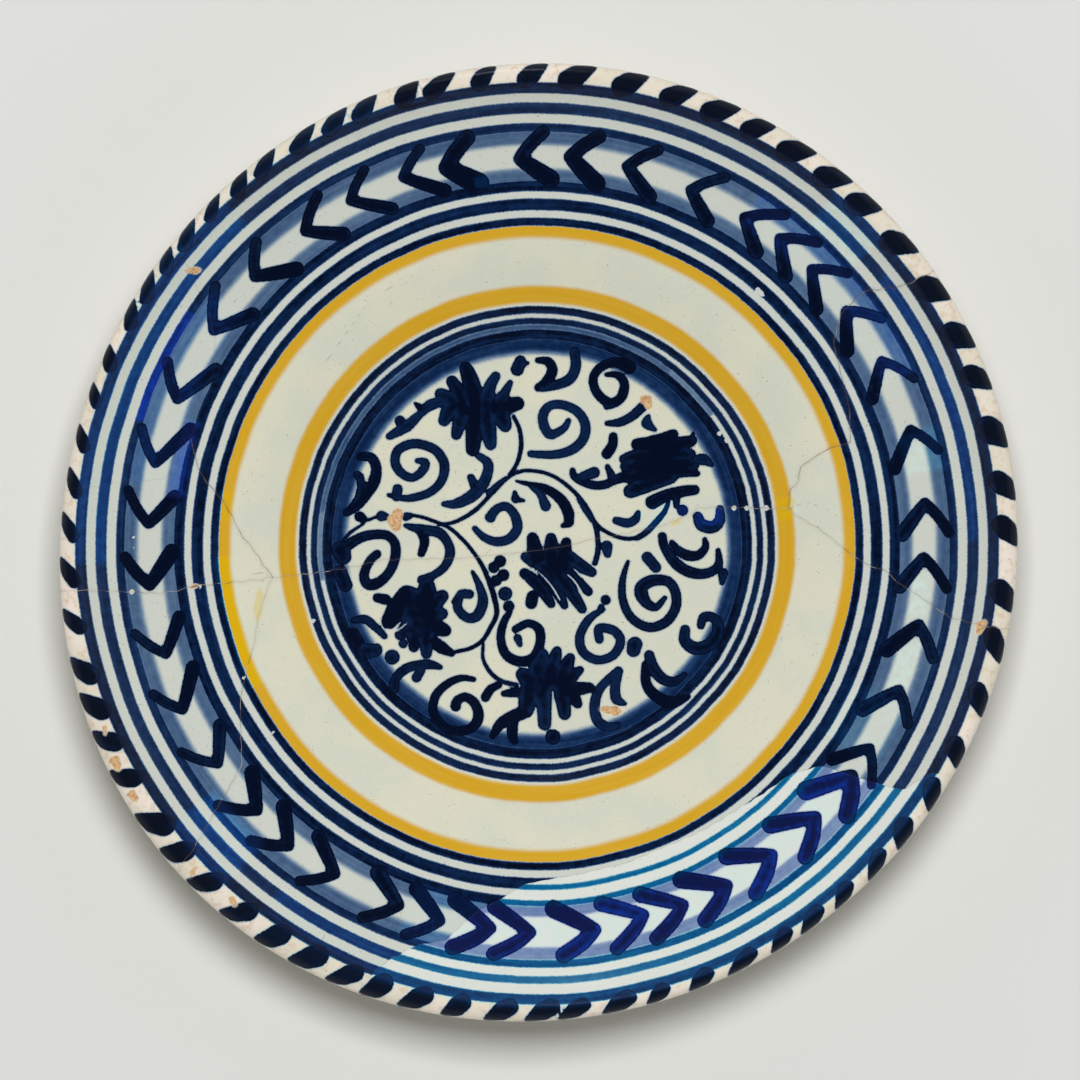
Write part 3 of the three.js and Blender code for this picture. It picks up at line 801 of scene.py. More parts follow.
@dataclass
class PaintMap:
    """Works out what is painted, cracked or lost at each place on the dish.

    Every field is a number for each place. Distances are in millimetres, and are worked out up to the
    reach: positive inside a stroke, a flake, a filler or a white spot (two of them painted highlights), and
    how far away a crack, joint or hairline is.
    From lip_from outward the rope strokes taper off below the lip's top.
    """

    section: Section
    reach: float = 3.0
    seed: int = 11
    tip_height: float = 2.2
    tip_slope: float = 1.0
    lip_from: float = 147.0
    bead_from: float = 144.0
    bead_drop: float = 5.5
    faintest: float = 0.34
    fill_arrows_inner: float = 113.2
    fill_arrows_outer: float = 130.8
    fill_lip: float = 145.5
    fill_lip_cover: float = 0.2
    fill_mint: float = 0.1
    fill_mint_arrows: float = 0.7
    strokes: list[tuple[Brush, float]] = field(default_factory=list)

    def __post_init__(self) -> None:
        """Collect every brush stroke with its paint load."""
        rng = np.random.default_rng(self.seed)
        for stroke in FLORETS + STEMS + SPIRALS + LEAVES:
            self.strokes.append((stroke, rng.uniform(0.86, 1.0)))
        for stroke, newer in Border().strokes():
            self.strokes.append((stroke, rng.uniform(0.86, 0.98) if newer else rng.uniform(0.9, 1.0)))
        self.front, self.back = self.section.front(), self.section.back()[::-1]

    def capsule(self, places: np.ndarray, brush: Brush) -> tuple[np.ndarray, np.ndarray]:
        """Measure how far inside one stroke the nearby places lie.

        Args:
            places: Places in plan, one row each.
            brush: The stroke.

        Returns:
            The rows of the places near the stroke, and the distance inside it at each.
        """
        line, half = brush.path()
        margin = half.max() + self.reach
        low, high = line.min(axis=0) - margin, line.max(axis=0) + margin
        near = np.flatnonzero(np.all((places >= low) & (places <= high), axis=1))
        spot = places[near]
        if len(line) == 1:
            return near, half[0] - np.hypot(*(spot - line[0]).T)
        best = np.full(len(near), -np.inf)
        for start, end, wide, narrow in zip(line[:-1], line[1:], half[:-1], half[1:]):
            run = end - start
            share = np.clip(((spot - start) @ run) / max(run @ run, 1e-9), 0, 1)
            distance = np.hypot(*(spot - start - share[:, None] * run).T)
            best = np.maximum(best, wide + (narrow - wide) * share - distance)
        return near, best

    def painted(self, places: np.ndarray) -> tuple[np.ndarray, np.ndarray]:
        """Measure the distance inside the nearest stroke, and that stroke's paint load."""
        inside = np.full(len(places), -self.reach)
        load = np.full(len(places), 0.9)
        for brush, amount in self.strokes:
            near, depth = self.capsule(places, brush)
            closer = depth > inside[near]
            inside[near[closer]] = depth[closer]
            load[near[closer]] = amount
        for brush in GAPS_BETWEEN_STROKES:
            near, depth = self.capsule(places, brush)
            inside[near] = np.minimum(inside[near], -depth)
        return np.clip(inside, -self.reach, self.reach), load

    def near_lines(self, places: np.ndarray, routes: list[np.ndarray],
                   faint: list[float] | None = None) -> np.ndarray:
        """Measure how close each place is to the nearest of some lines, up to the reach.

        Args:
            places: Places in plan, one row each.
            routes: The lines.
            faint: How much farther away than it is each line counts as, so that it shows less.

        Returns:
            The distance from each place.
        """
        away = np.full(len(places), self.reach)
        for route, extra in zip(routes, faint or [0.0] * len(routes)):
            brush = Brush([tuple(point) for point in route], [0.0], steps=1)
            near, depth = self.capsule(places, brush)
            away[near] = np.minimum(away[near], extra - depth)
        return away

    def on_face(self, places: np.ndarray) -> np.ndarray:
        """Say which places lie on the painted side, as 1 or 0."""
        radius = np.hypot(places[:, 0], places[:, 1])
        top = np.interp(radius, self.front[:, 0], self.front[:, 1])
        under = np.interp(radius, self.back[:, 0], self.back[:, 1])
        middle = np.where(radius < self.bead_from, (top + under) / 2, self.section.height - self.bead_drop)
        return (places[:, 2] > middle).astype(float)

    def retouched(self, radius: np.ndarray, bearing: np.ndarray) -> tuple[np.ndarray, np.ndarray, np.ndarray]:
        """Measure the retouching.

        Args:
            radius: Each place's radius.
            bearing: Each place's bearing in degrees.

        Returns:
            How far the paint is newer, how far it leans to royal blue, and how far the white is minty.
        """
        newer, royal, minty = np.zeros(len(radius)), np.zeros(len(radius)), np.zeros(len(radius))
        for arc in RETOUCH_ARCS:
            amount = arc.cover(radius, bearing)
            royal = np.where(amount * arc.strength > newer, arc.royal, royal)
            newer = np.maximum(newer, amount * arc.strength)
            minty = np.maximum(minty, amount * arc.white)
        return newer, royal, minty

    def fields(self, places: np.ndarray, plaster: bool) -> dict[str, np.ndarray]:
        """Work out every field.

        Args:
            places: The places in millimetres on the round dish, one row each.
            plaster: Whether the places are on a plaster fill, which is painted in the newer colours.

        Returns:
            The fields by name.
        """
        plan = places[:, :2]
        radius, bearing = np.hypot(*plan.T), np.degrees(np.arctan2(plan[:, 1], plan[:, 0]))
        stroke, load = self.painted(plan)
        below = np.clip(self.section.height - self.tip_height - places[:, 2], 0, None)
        stroke = np.where(radius > self.lip_from, stroke - below * self.tip_slope, stroke)
        cover, royal, minty = self.retouched(radius, bearing)
        if plaster:
            low_side = plan[:, 1] < 0
            arrows = clamp_smooth(radius - self.fill_arrows_inner)
            arrows *= clamp_smooth(self.fill_arrows_outer - radius)
            royal = np.where(low_side, arrows, royal)
            cover = np.where(low_side, np.where(radius < self.fill_lip, 1.0, self.fill_lip_cover), cover)
            repainted = arrows * self.fill_mint_arrows + self.fill_mint
            minty = np.where(low_side, repainted, np.maximum(minty, self.fill_mint))
        open_lines = [line for line in BREAK_LINES if not line.overpainted]
        closed_lines = [line for line in BREAK_LINES if line.overpainted]
        faint = [(1 - line.shown) * self.faintest for line in open_lines]
        # White patches where paint flaked, two of them painted highlights in place of glints on the glaze.
        spots_and_glints = [half - np.hypot(plan[:, 0] - east, plan[:, 1] - north) for east, north, half in WHITE_SPOTS_AND_GLINTS]
        return {
            "stroke": stroke,
            "load": load,
            "repaint": cover,
            "royal": royal,
            "minty": minty,
            "wash": np.max([arc.cover(radius, bearing) * arc.strength for arc in WASHED_OVER], axis=0),
            "crack": self.near_lines(plan, [line.centre_line() for line in open_lines], faint),
            "joint": self.near_lines(plan, [line.centre_line() for line in closed_lines]),
            "hairline": self.near_lines(plan, [np.array(route) for route in HAIRLINES]),
            "flake": self.deepest([patch.inside(plan) for patch in FLAKES]),
            "spot": self.deepest(spots_and_glints),
            "filler": self.deepest([patch.inside(plan) for patch in FILLER_SPOTS]),
            "face": self.on_face(places),
        }

    def deepest(self, distances: list[np.ndarray]) -> np.ndarray:
        """Keep the greatest of some distances at each place, up to the reach to both sides of 0."""
        return np.clip(np.max(distances, axis=0), -self.reach, self.reach)


# --------------------------------------------------------------------------------------------------
# Finishes

Socket = bpy.types.NodeSocket
Colour = tuple[int, int, int]
Source = Socket | float | tuple


class Wiring:
    """Wires up one material's nodes, with a short method for each kind of step."""

    specular: float = 0.13

    def __init__(self, name: str) -> None:
        """Start an empty material of that name."""
        self.material = bpy.data.materials.new(name)
        self.material.use_nodes = True
        self.tree = self.material.node_tree
        self.tree.nodes.clear()

    def node(self, kind: str, inputs: dict[int | str, Source], **settings: object) -> bpy.types.Node:
        """Add a node, set it up, and feed its inputs with numbers, colours or other nodes' outputs."""
        made = self.tree.nodes.new(kind)
        for key, value in settings.items():
            setattr(made, key, value)
        for key, value in inputs.items():
            if isinstance(value, Socket):
                self.tree.links.new(value, made.inputs[key])
            else:
                made.inputs[key].default_value = value
        return made

    def maths(self, operation: str, parts: tuple[Source, ...], clamp: bool = False) -> Socket:
        """Join values two at a time, in order, with one operation."""
        total = parts[0]
        for part in parts[1:]:
            made = self.node("ShaderNodeMath", {0: total, 1: part}, operation=operation, use_clamp=clamp)
            total = made.outputs[0]
        return total

    def times(self, *parts: Source) -> Socket:
        """Multiply values together."""
        return self.maths("MULTIPLY", parts)

    def plus(self, *parts: Source) -> Socket:
        """Add values up."""
        return self.maths("ADD", parts)

    def minus(self, *parts: Source) -> Socket:
        """Take values away from the first."""
        return self.maths("SUBTRACT", parts)

    def greatest(self, *parts: Source, clamp: bool = False) -> Socket:
        """Keep the greatest of some values."""
        return self.maths("MAXIMUM", parts, clamp)

    def sway(self, noise: Source, amount: float) -> Socket:
        """Turn noise of 0 to 1 into a sway to both sides of 0."""
        return self.times(self.minus(noise, 0.5), amount)

    def ease(self, value: Source, low: float, high: float) -> Socket:
        """Rise smoothly from 0 to 1 between two values."""
        inputs = {0: value, 1: low, 2: high, 3: 0.0, 4: 1.0}
        return self.node("ShaderNodeMapRange", inputs, interpolation_type="SMOOTHSTEP").outputs[0]

    def near(self, value: Source, full: float, gone: float) -> Socket:
        """Fall smoothly from 1 to 0 between two values."""
        return self.minus(1.0, self.ease(value, full, gone))

    def mix(self, share: Source, one: Socket | Colour, two: Socket | Colour) -> Socket:
        """Blend from one colour to another; a plain colour has 0 to 255 a channel."""
        one, two = (item if isinstance(item, Socket) else srgb(*item) for item in (one, two))
        return self.node("ShaderNodeMix", {0: share, 6: one, 7: two}, data_type="RGBA").outputs[2]

    def noise(self, vector: Source, scale: float, detail: float = 2.0) -> Socket:
        """Make soft cloudy noise of about 0 to 1."""
        inputs = {"Vector": vector, "Scale": scale, "Detail": detail}
        return self.node("ShaderNodeTexNoise", inputs).outputs["Fac"]

    def field(self, name: str) -> Socket:
        """Read one of the fields that a piece's points carry."""
        return self.node("ShaderNodeAttribute", {}, attribute_name=name).outputs["Fac"]

    def length(self, vector: Source) -> Socket:
        """Measure a vector's length."""
        return self.node("ShaderNodeVectorMath", {0: vector}, operation="LENGTH").outputs["Value"]

    def millimetres(self) -> Socket:
        """Find the place on the piece, in millimetres."""
        place = self.node("ShaderNodeTexCoord", {}).outputs["Object"]
        return self.node("ShaderNodeVectorMath", {0: place, 3: 1 / MM}, operation="SCALE").outputs[0]

    def ramp(self, value: Source, stops: list[tuple[float, tuple]]) -> Socket:
        """Pick a colour along a run of stops."""
        made = self.node("ShaderNodeValToRGB", {0: value})
        elements = made.color_ramp.elements
        while len(elements) < len(stops):
            elements.new(0.5)
        for element, (place, colour) in zip(elements, stops):
            element.position = place
            element.color = colour
        return made.outputs[0]

    def shade(self, colour: Source, roughness: Source, height: Source, depth: float = MM) -> None:
        """Finish the material with one glossy surface whose relief is given in millimetres."""
        bump = self.node("ShaderNodeBump", {"Height": height, "Distance": depth, "Strength": 1.0})
        inputs = {"Base Color": colour, "Roughness": roughness, "Normal": bump.outputs[0]}
        surface = self.node("ShaderNodeBsdfPrincipled", inputs)
        surface.inputs["Specular IOR Level"].default_value = self.specular
        self.node("ShaderNodeOutputMaterial", {"Surface": surface.outputs[0]})


class GlazeWiring(Wiring):
    """Wiring for a glazed finish, with the radius and the noises that its steps share.

    The radius wanders a little, so that rings painted by it are as uneven as a hand makes them.
    """

    wander: float = 1.1
    fray: float = 0.5
    tracks_round: float = 3.4
    tracks_out: float = 0.85

    def __init__(self, name: str) -> None:
        """Start the material, and wire up what its steps share."""
        super().__init__(name)
        self.place = self.millimetres()
        axes = self.node("ShaderNodeSeparateXYZ", {0: self.place}).outputs
        self.height = axes[2]
        plan = self.node("ShaderNodeCombineXYZ", {0: axes[0], 1: axes[1]}).outputs[0]
        around = self.node("ShaderNodeVectorMath", {0: plan}, operation="NORMALIZE").outputs[0]
        length = self.length(plan)
        self.cloud = self.noise(self.place, 0.045, 3.0)
        self.mottle = self.noise(self.place, 0.42, 3.0)
        self.grain = self.noise(self.place, 1.6)
        wander = self.sway(self.noise(around, 5.0, 3.0), self.wander)
        self.radius = self.plus(length, wander, self.sway(self.grain, self.fray))
        turned = self.node("ShaderNodeSeparateXYZ", {0: around}).outputs
        tracks = [self.times(turned[axis], self.tracks_round) for axis in (0, 1)]
        tracks.append(self.times(length, self.tracks_out))
        brushed = self.node("ShaderNodeCombineXYZ", dict(enumerate(tracks))).outputs[0]
        self.streak = self.ease(self.noise(brushed, 1.0), 0.25, 0.75)


@dataclass(frozen=True)
class Pigment:
    """One paint over white glaze, from a thin wash to a thick load."""

    wash: Colour
    light: Colour
    middle: Colour
    deep: Colour
    thick: Colour
    loads: tuple[float, ...] = (0.2, 0.42, 0.64, 0.84, 1.0)

    def stops(self) -> list[tuple[float, tuple]]:
        """Give the colours against the load of paint."""
        shades = [self.wash, self.light, self.middle, self.deep, self.thick]
        return [(load, srgb(*shade)) for load, shade in zip(self.loads, shades)]


COBALT = Pigment((156, 170, 178), (94, 119, 148), (38, 66, 108), (14, 38, 76), (5, 13, 35))
TEAL = Pigment((178, 208, 210), (92, 160, 184), (12, 102, 150), (6, 64, 116), (4, 34, 72))
ROYAL = Pigment((166, 180, 204), (102, 126, 170), (24, 72, 170), (15, 50, 142), (14, 23, 70))


@dataclass(frozen=True)
class Ring:
    """A band of paint laid on while the dish turned on the wheel, in millimetres."""

    inner: float
    outer: float
    load: float = 1.0
    inner_fade: float = 0.8
    outer_fade: float = 0.8

    def cover(self, wiring: Wiring, radius: Source) -> Socket:
        """Wire up how much paint of this ring lies at a radius."""
        rise = wiring.ease(radius, self.inner - self.inner_fade / 2, self.inner + self.inner_fade / 2)
        fall = wiring.near(radius, self.outer - self.outer_fade / 2, self.outer + self.outer_fade / 2)
        return wiring.times(rise, fall, self.load)


BLUE_RINGS = (
    Ring(141.2, 144.5, 0.95),
    Ring(134.9, 138.3, 0.88),
    Ring(129.2, 131.9, 0.9),
    Ring(125.2, 129.4, 0.56, inner_fade=2.8),
    Ring(113.8, 117.8, 0.54, outer_fade=2.6),
    Ring(110.7, 114.0, 0.97),
    Ring(104.8, 108.4, 0.95),
    Ring(100.0, 102.4),
    Ring(72.5, 74.8),
    Ring(69.1, 71.1, 0.95),
    Ring(64.3, 67.6),
    Ring(60.2, 64.5, 0.86, inner_fade=3.6),
)
# The restorer's rings on the lower fill, which are thinner than the old ones beside them.
NEWER_RINGS = (
    Ring(141.0, 144.2, 0.9),
    Ring(135.4, 137.8, 0.74),
    Ring(130.4, 132.8, 0.82),
    Ring(126.4, 130.4, 0.42, inner_fade=1.6),
    Ring(113.6, 117.0, 0.42, outer_fade=1.6),
    Ring(111.8, 113.7, 0.74),
    Ring(106.8, 108.6, 0.7),
    Ring(100.0, 102.4, 0.9),
)
YELLOW_RINGS = (Ring(96.2, 100.2, inner_fade=2.0), Ring(75.8, 81.2, inner_fade=1.4, outer_fade=1.6))


def ring_paint(wiring: Wiring, radius: Source, rings: tuple[Ring, ...]) -> Socket:
    """Wire up the paint of a set of rings."""
    return wiring.greatest(*[ring.cover(wiring, radius) for ring in rings])


class Body(Enum):
    """What a piece of the dish is made of under its painted face."""

    CLAY = "clay"
    PLASTER = "plaster"


@dataclass(frozen=True)
class BareBody:
    """Bare clay or plaster, as on a broken edge; the clay also shows in a flake and under the foot."""

    name: str
    light: Colour
    dark: Colour
    roughness: float

    def colour(self, wiring: Wiring, place: Source) -> Socket:
        """Wire up the body's grainy colour."""
        grain = wiring.ease(wiring.noise(place, 1.1, 4.0), 0.3, 0.7)
        return wiring.mix(grain, self.dark, self.light)

    def material(self) -> bpy.types.Material:
        """Make the finish on its own, for broken edges."""
        wiring = Wiring(self.name)
        place = wiring.millimetres()
        wiring.shade(self.colour(wiring, place), self.roughness, wiring.noise(place, 2.0, 5.0), 0.4 * MM)
        return wiring.material


CLAY_EDGE = BareBody("bare_clay", (226, 191, 146), (188, 146, 104), 0.92)
PLASTER_EDGE = BareBody("bare_plaster", (232, 229, 220), (208, 202, 190), 0.88)


@dataclass(frozen=True)
class PaintedGlaze:
    """White tin glaze with cobalt and ochre painting, its wear and its retouching.

    Each edge is the pair of radii, or of heights for the foot, over which one look gives way to the next,
    in millimetres.
    """

    name: str
    body: Body
    white: Colour = (216, 214, 193)
    white_cool: Colour = (207, 210, 194)
    white_warm: Colour = (220, 212, 194)
    white_thin: Colour = (210, 196, 172)
    ring_white: Colour = (198, 203, 197)
    mint: Colour = (204, 224, 216)
    lip_white: Colour = (230, 219, 207)
    lip_black: Colour = (15, 20, 28)
    lip_worn: Colour = (206, 180, 152)
    ochre: Colour = (208, 160, 36)
    ochre_thin: Colour = (218, 182, 78)
    ochre_new: Colour = (216, 172, 14)
    stain: Colour = (118, 92, 70)
    filler: Colour = (214, 203, 152)
    gloss: float = 0.13
    gloss_new: float = 0.24
    bare_rougher: float = 0.55
    blue_rings: tuple[Ring, ...] = BLUE_RINGS
    centre_edge: tuple[float, float] = (60, 66)
    inner_rings_edge: tuple[float, float] = (74, 76)
    outer_rings_edge: tuple[float, float] = (99, 103)
    flange_edge: tuple[float, float] = (143, 145)
    lip_edge: tuple[float, float] = (143.5, 146)
    mint_edge: tuple[float, float] = (144, 146)
    black_edge: tuple[float, float] = (144.4, 145.6)
    foot_edge: tuple[float, float] = (0.2, 0.9)

    def material(self) -> bpy.types.Material:
        """Make the finish: white, ochre, blue, then wear and cracks, and the plain back."""
        wiring = GlazeWiring(self.name)
        load, edge = self.blues(wiring)
        colour = self.tinted(wiring, load, self.ochres(wiring, self.ground(wiring)))
        on_lip = wiring.ease(wiring.radius, *self.black_edge)
        colour = wiring.mix(wiring.times(wiring.ease(load, 0.8, 0.95), on_lip, 0.62), colour, self.lip_black)
        round_flake = wiring.ease(wiring.field("flake"), -0.45, 0.0)
        chipped = wiring.times(round_flake, wiring.ease(wiring.mottle, 0.3, 0.6), 0.8)
        colour = wiring.mix(chipped, colour, self.white_warm)
        colour = wiring.mix(wiring.ease(wiring.field("filler"), -0.3, 0.3), colour, self.filler)
        colour = self.cracked(wiring, load, colour)
        colour = wiring.mix(wiring.field("face"), self.back(wiring), colour)
        bare = self.worn(wiring)
        colour = wiring.mix(bare, colour, CLAY_EDGE.colour(wiring, wiring.place))
        rough = wiring.plus(
            self.gloss,
            wiring.times(wiring.mottle, 0.12),
            wiring.times(wiring.field("repaint"), self.gloss_new - self.gloss),
            wiring.times(bare, self.bare_rougher),
        )
        wiring.shade(colour, rough, self.relief(wiring, edge, load, bare))
        return wiring.material

    def ground(self, wiring: GlazeWiring) -> Socket:
        """Wire up the white glaze, cooler between the rings, warm on the lip, and with small dark specks."""
        radius, mottle = wiring.radius, wiring.mottle
        cool = wiring.ease(wiring.cloud, 0.35, 0.62)
        warm = wiring.times(wiring.ease(wiring.plus(wiring.cloud, mottle), 1.0, 1.4), 0.4)
        white = wiring.mix(warm, wiring.mix(cool, self.white, self.white_cool), self.white_warm)
        ringed = wiring.greatest(
            wiring.ease(radius, *self.outer_rings_edge), wiring.near(radius, *self.inner_rings_edge)
        )
        outside, inside = wiring.ease(radius, *self.centre_edge), wiring.near(radius, *self.flange_edge)
        white = wiring.mix(wiring.times(ringed, outside, inside, 0.8), white, self.ring_white)
        worn = wiring.times(wiring.ease(mottle, 0.52, 0.66), 0.5)
        lip = wiring.mix(worn, wiring.mix(cool, self.lip_white, self.white_warm), self.lip_worn)
        white = wiring.mix(wiring.ease(radius, *self.lip_edge), white, lip)
        speck = wiring.times(wiring.ease(wiring.grain, 0.66, 0.71), wiring.ease(mottle, 0.46, 0.56), 0.55)
        white = wiring.mix(speck, white, self.stain)
        patchy = wiring.plus(0.25, wiring.times(wiring.ease(mottle, 0.35, 0.6), 0.65))
        fresh = wiring.times(wiring.field("minty"), wiring.near(radius, *self.mint_edge), patchy)
        return wiring.mix(fresh, white, self.mint)

    def ochres(self, wiring: GlazeWiring, under: Socket) -> Socket:
        """Wire up the two yellow rings over the white, a little paler where the brush ran thin."""
        thin = wiring.mix(wiring.times(wiring.streak, 0.22), self.ochre, self.ochre_thin)
        ochre = wiring.mix(wiring.field("repaint"), thin, self.ochre_new)
        return wiring.mix(ring_paint(wiring, wiring.radius, YELLOW_RINGS), under, ochre)

    def blues(self, wiring: GlazeWiring) -> tuple[Socket, Socket]:
        """Wire up the load of blue paint, and the edge of the brush strokes alone."""
        stroke, mottle, grain = wiring.field("stroke"), wiring.mottle, wiring.grain
        rings = wiring.greatest(ring_paint(wiring, wiring.radius, self.blue_rings), wiring.field("wash"))
        uneven = wiring.plus(0.88, wiring.times(wiring.streak, 0.14), wiring.sway(mottle, 0.28))
        rings = wiring.times(rings, uneven)
        edge = wiring.ease(wiring.plus(stroke, wiring.sway(grain, 0.5)), -0.16, 0.16)
        body = wiring.plus(
            wiring.field("load"),
            wiring.times(wiring.ease(stroke, 0.4, 2.6), 0.12),
            wiring.sway(mottle, 0.22),
            wiring.times(wiring.near(stroke, 0.2, 0.8), 0.12),
        )
        halo = wiring.times(wiring.ease(stroke, -0.7, 0.1), 0.28)
        strokes = wiring.greatest(wiring.times(edge, body), halo)
        load = wiring.greatest(rings, strokes, clamp=True)
        # The blue is cleared to white at the flaked patches and at the two painted highlights that stand in
        # for glints.
        clear_of_spots_and_glints = wiring.near(wiring.plus(wiring.field("spot"), wiring.times(grain, 0.6)), 0.2, 0.5)
        return wiring.times(load, clear_of_spots_and_glints), edge

    def tinted(self, wiring: GlazeWiring, load: Socket, under: Socket) -> Socket:
        """Wire up the colour of the blue paint over what is under it."""
        old, teal, royal = (wiring.ramp(load, paint.stops()) for paint in (COBALT, TEAL, ROYAL))
        blue = wiring.mix(wiring.field("repaint"), old, wiring.mix(wiring.field("royal"), teal, royal))
        return wiring.mix(wiring.ease(load, 0.0, 0.3), under, blue)

    def worn(self, wiring: GlazeWiring) -> Socket:
        """Wire up where the body is bare: in flakes, and under a clay foot."""
        broken = wiring.ease(wiring.plus(wiring.field("flake"), wiring.sway(wiring.grain, 0.7)), -0.08, 0.1)
        flaked = wiring.times(broken, wiring.field("face"))
        if self.body is Body.PLASTER:
            return flaked
        return wiring.greatest(flaked, wiring.near(wiring.height, *self.foot_edge))

    def cracked(self, wiring: GlazeWiring, load: Socket, under: Socket) -> Socket:
        """Wire up the dirt in the joints and hairlines, which shows less on dark paint."""
        crack, joint, hairline = (wiring.field(name) for name in ("crack", "joint", "hairline"))
        patchy = wiring.times(wiring.ease(wiring.mottle, 0.35, 0.65), 0.7)
        dirt = wiring.greatest(
            wiring.times(wiring.near(crack, 0.1, 0.38), patchy),
            wiring.times(wiring.near(crack, 0.2, 1.6), 0.09),
            wiring.times(wiring.near(hairline, 0.05, 0.35), 0.4),
            wiring.times(wiring.near(joint, 0.05, 0.35), 0.12),
        )
        seen = wiring.minus(1.0, wiring.times(load, 0.75))
        return wiring.mix(wiring.times(dirt, seen), under, self.stain)

    def back(self, wiring: GlazeWiring) -> Socket:
        """Wire up the plain white back, thin in places, with small dark specks."""
        thin = wiring.mix(wiring.ease(wiring.cloud, 0.4, 0.7), self.white, self.white_thin)
        speck = wiring.times(wiring.ease(wiring.grain, 0.7, 0.76), wiring.ease(wiring.mottle, 0.45, 0.6), 0.6)
        return wiring.mix(speck, thin, self.stain)

    def relief(self, wiring: GlazeWiring, edge: Socket, load: Socket, bare: Socket) -> Socket:
        """Wire up the surface's relief in millimetres: paint stands proud, bare body and cracks lie low."""
        return wiring.plus(
            wiring.times(edge, 0.03),
            wiring.times(load, 0.015),
            wiring.times(wiring.mottle, 0.05),
            wiring.times(wiring.grain, 0.012),
            wiring.times(wiring.noise(wiring.place, 0.12, 1.0), 0.16),
            wiring.times(bare, wiring.minus(wiring.times(wiring.grain, 0.3), 0.22)),
            wiring.times(wiring.near(wiring.field("crack"), 0.05, 0.5), -0.12),
        )


OLD_GLAZE = PaintedGlaze("painted_glaze", Body.CLAY)
UPPER_FILL = PaintedGlaze("painted_plaster", Body.PLASTER, gloss=0.2)
LOWER_FILL = PaintedGlaze(
    "painted_plaster_lower", Body.PLASTER, (222, 222, 210), ring_white=(218, 221, 217), gloss=0.2,
    blue_rings=NEWER_RINGS,
)


@dataclass(frozen=True)
class GlueFinish:
    """Old glue with dirt on it, touched in with blue where it crosses the painting."""

    name: str
    light: Colour
    dark: Colour
    touched_in: Colour = (40, 50, 76)
    touched_share: float = 0.9
    roughness: float = 0.5

    def material(self) -> bpy.types.Material:
        """Make the finish."""
        wiring = Wiring(self.name)
        place = wiring.millimetres()
        patches = wiring.ease(wiring.noise(place, 0.35, 3.0), 0.35, 0.65)
        rings = ring_paint(wiring, wiring.length(place), BLUE_RINGS)
        painted = wiring.greatest(rings, wiring.ease(wiring.field("stroke"), -0.1, 0.3))
        colour = wiring.mix(patches, self.dark, self.light)
        colour = wiring.mix(wiring.times(painted, self.touched_share), colour, self.touched_in)
        wiring.shade(colour, self.roughness, wiring.noise(place, 1.5, 3.0), 0.05 * MM)
        return wiring.material


OPEN_GLUE = GlueFinish("old_glue", (178, 164, 138), (110, 92, 74))
FAINT_GLUE = GlueFinish("old_glue_clean", (204, 200, 180), (176, 168, 148))


@dataclass(frozen=True)
class PaperFinish:
    """The plain pale ground that the dish lies on."""

    name: str = "pale_paper"
    colour: Colour = (219, 219, 216)
    paler: Colour = (223, 223, 220)
    roughness: float = 0.9

    def material(self) -> bpy.types.Material:
        """Make the finish."""
        wiring = Wiring(self.name)
        place = wiring.millimetres()
        tone = wiring.mix(wiring.noise(place, 0.01), self.colour, self.paler)
        wiring.shade(tone, self.roughness, wiring.noise(place, 0.6), 0.02 * MM)
        return wiring.material


# --------------------------------------------------------------------------------------------------
# The pieces


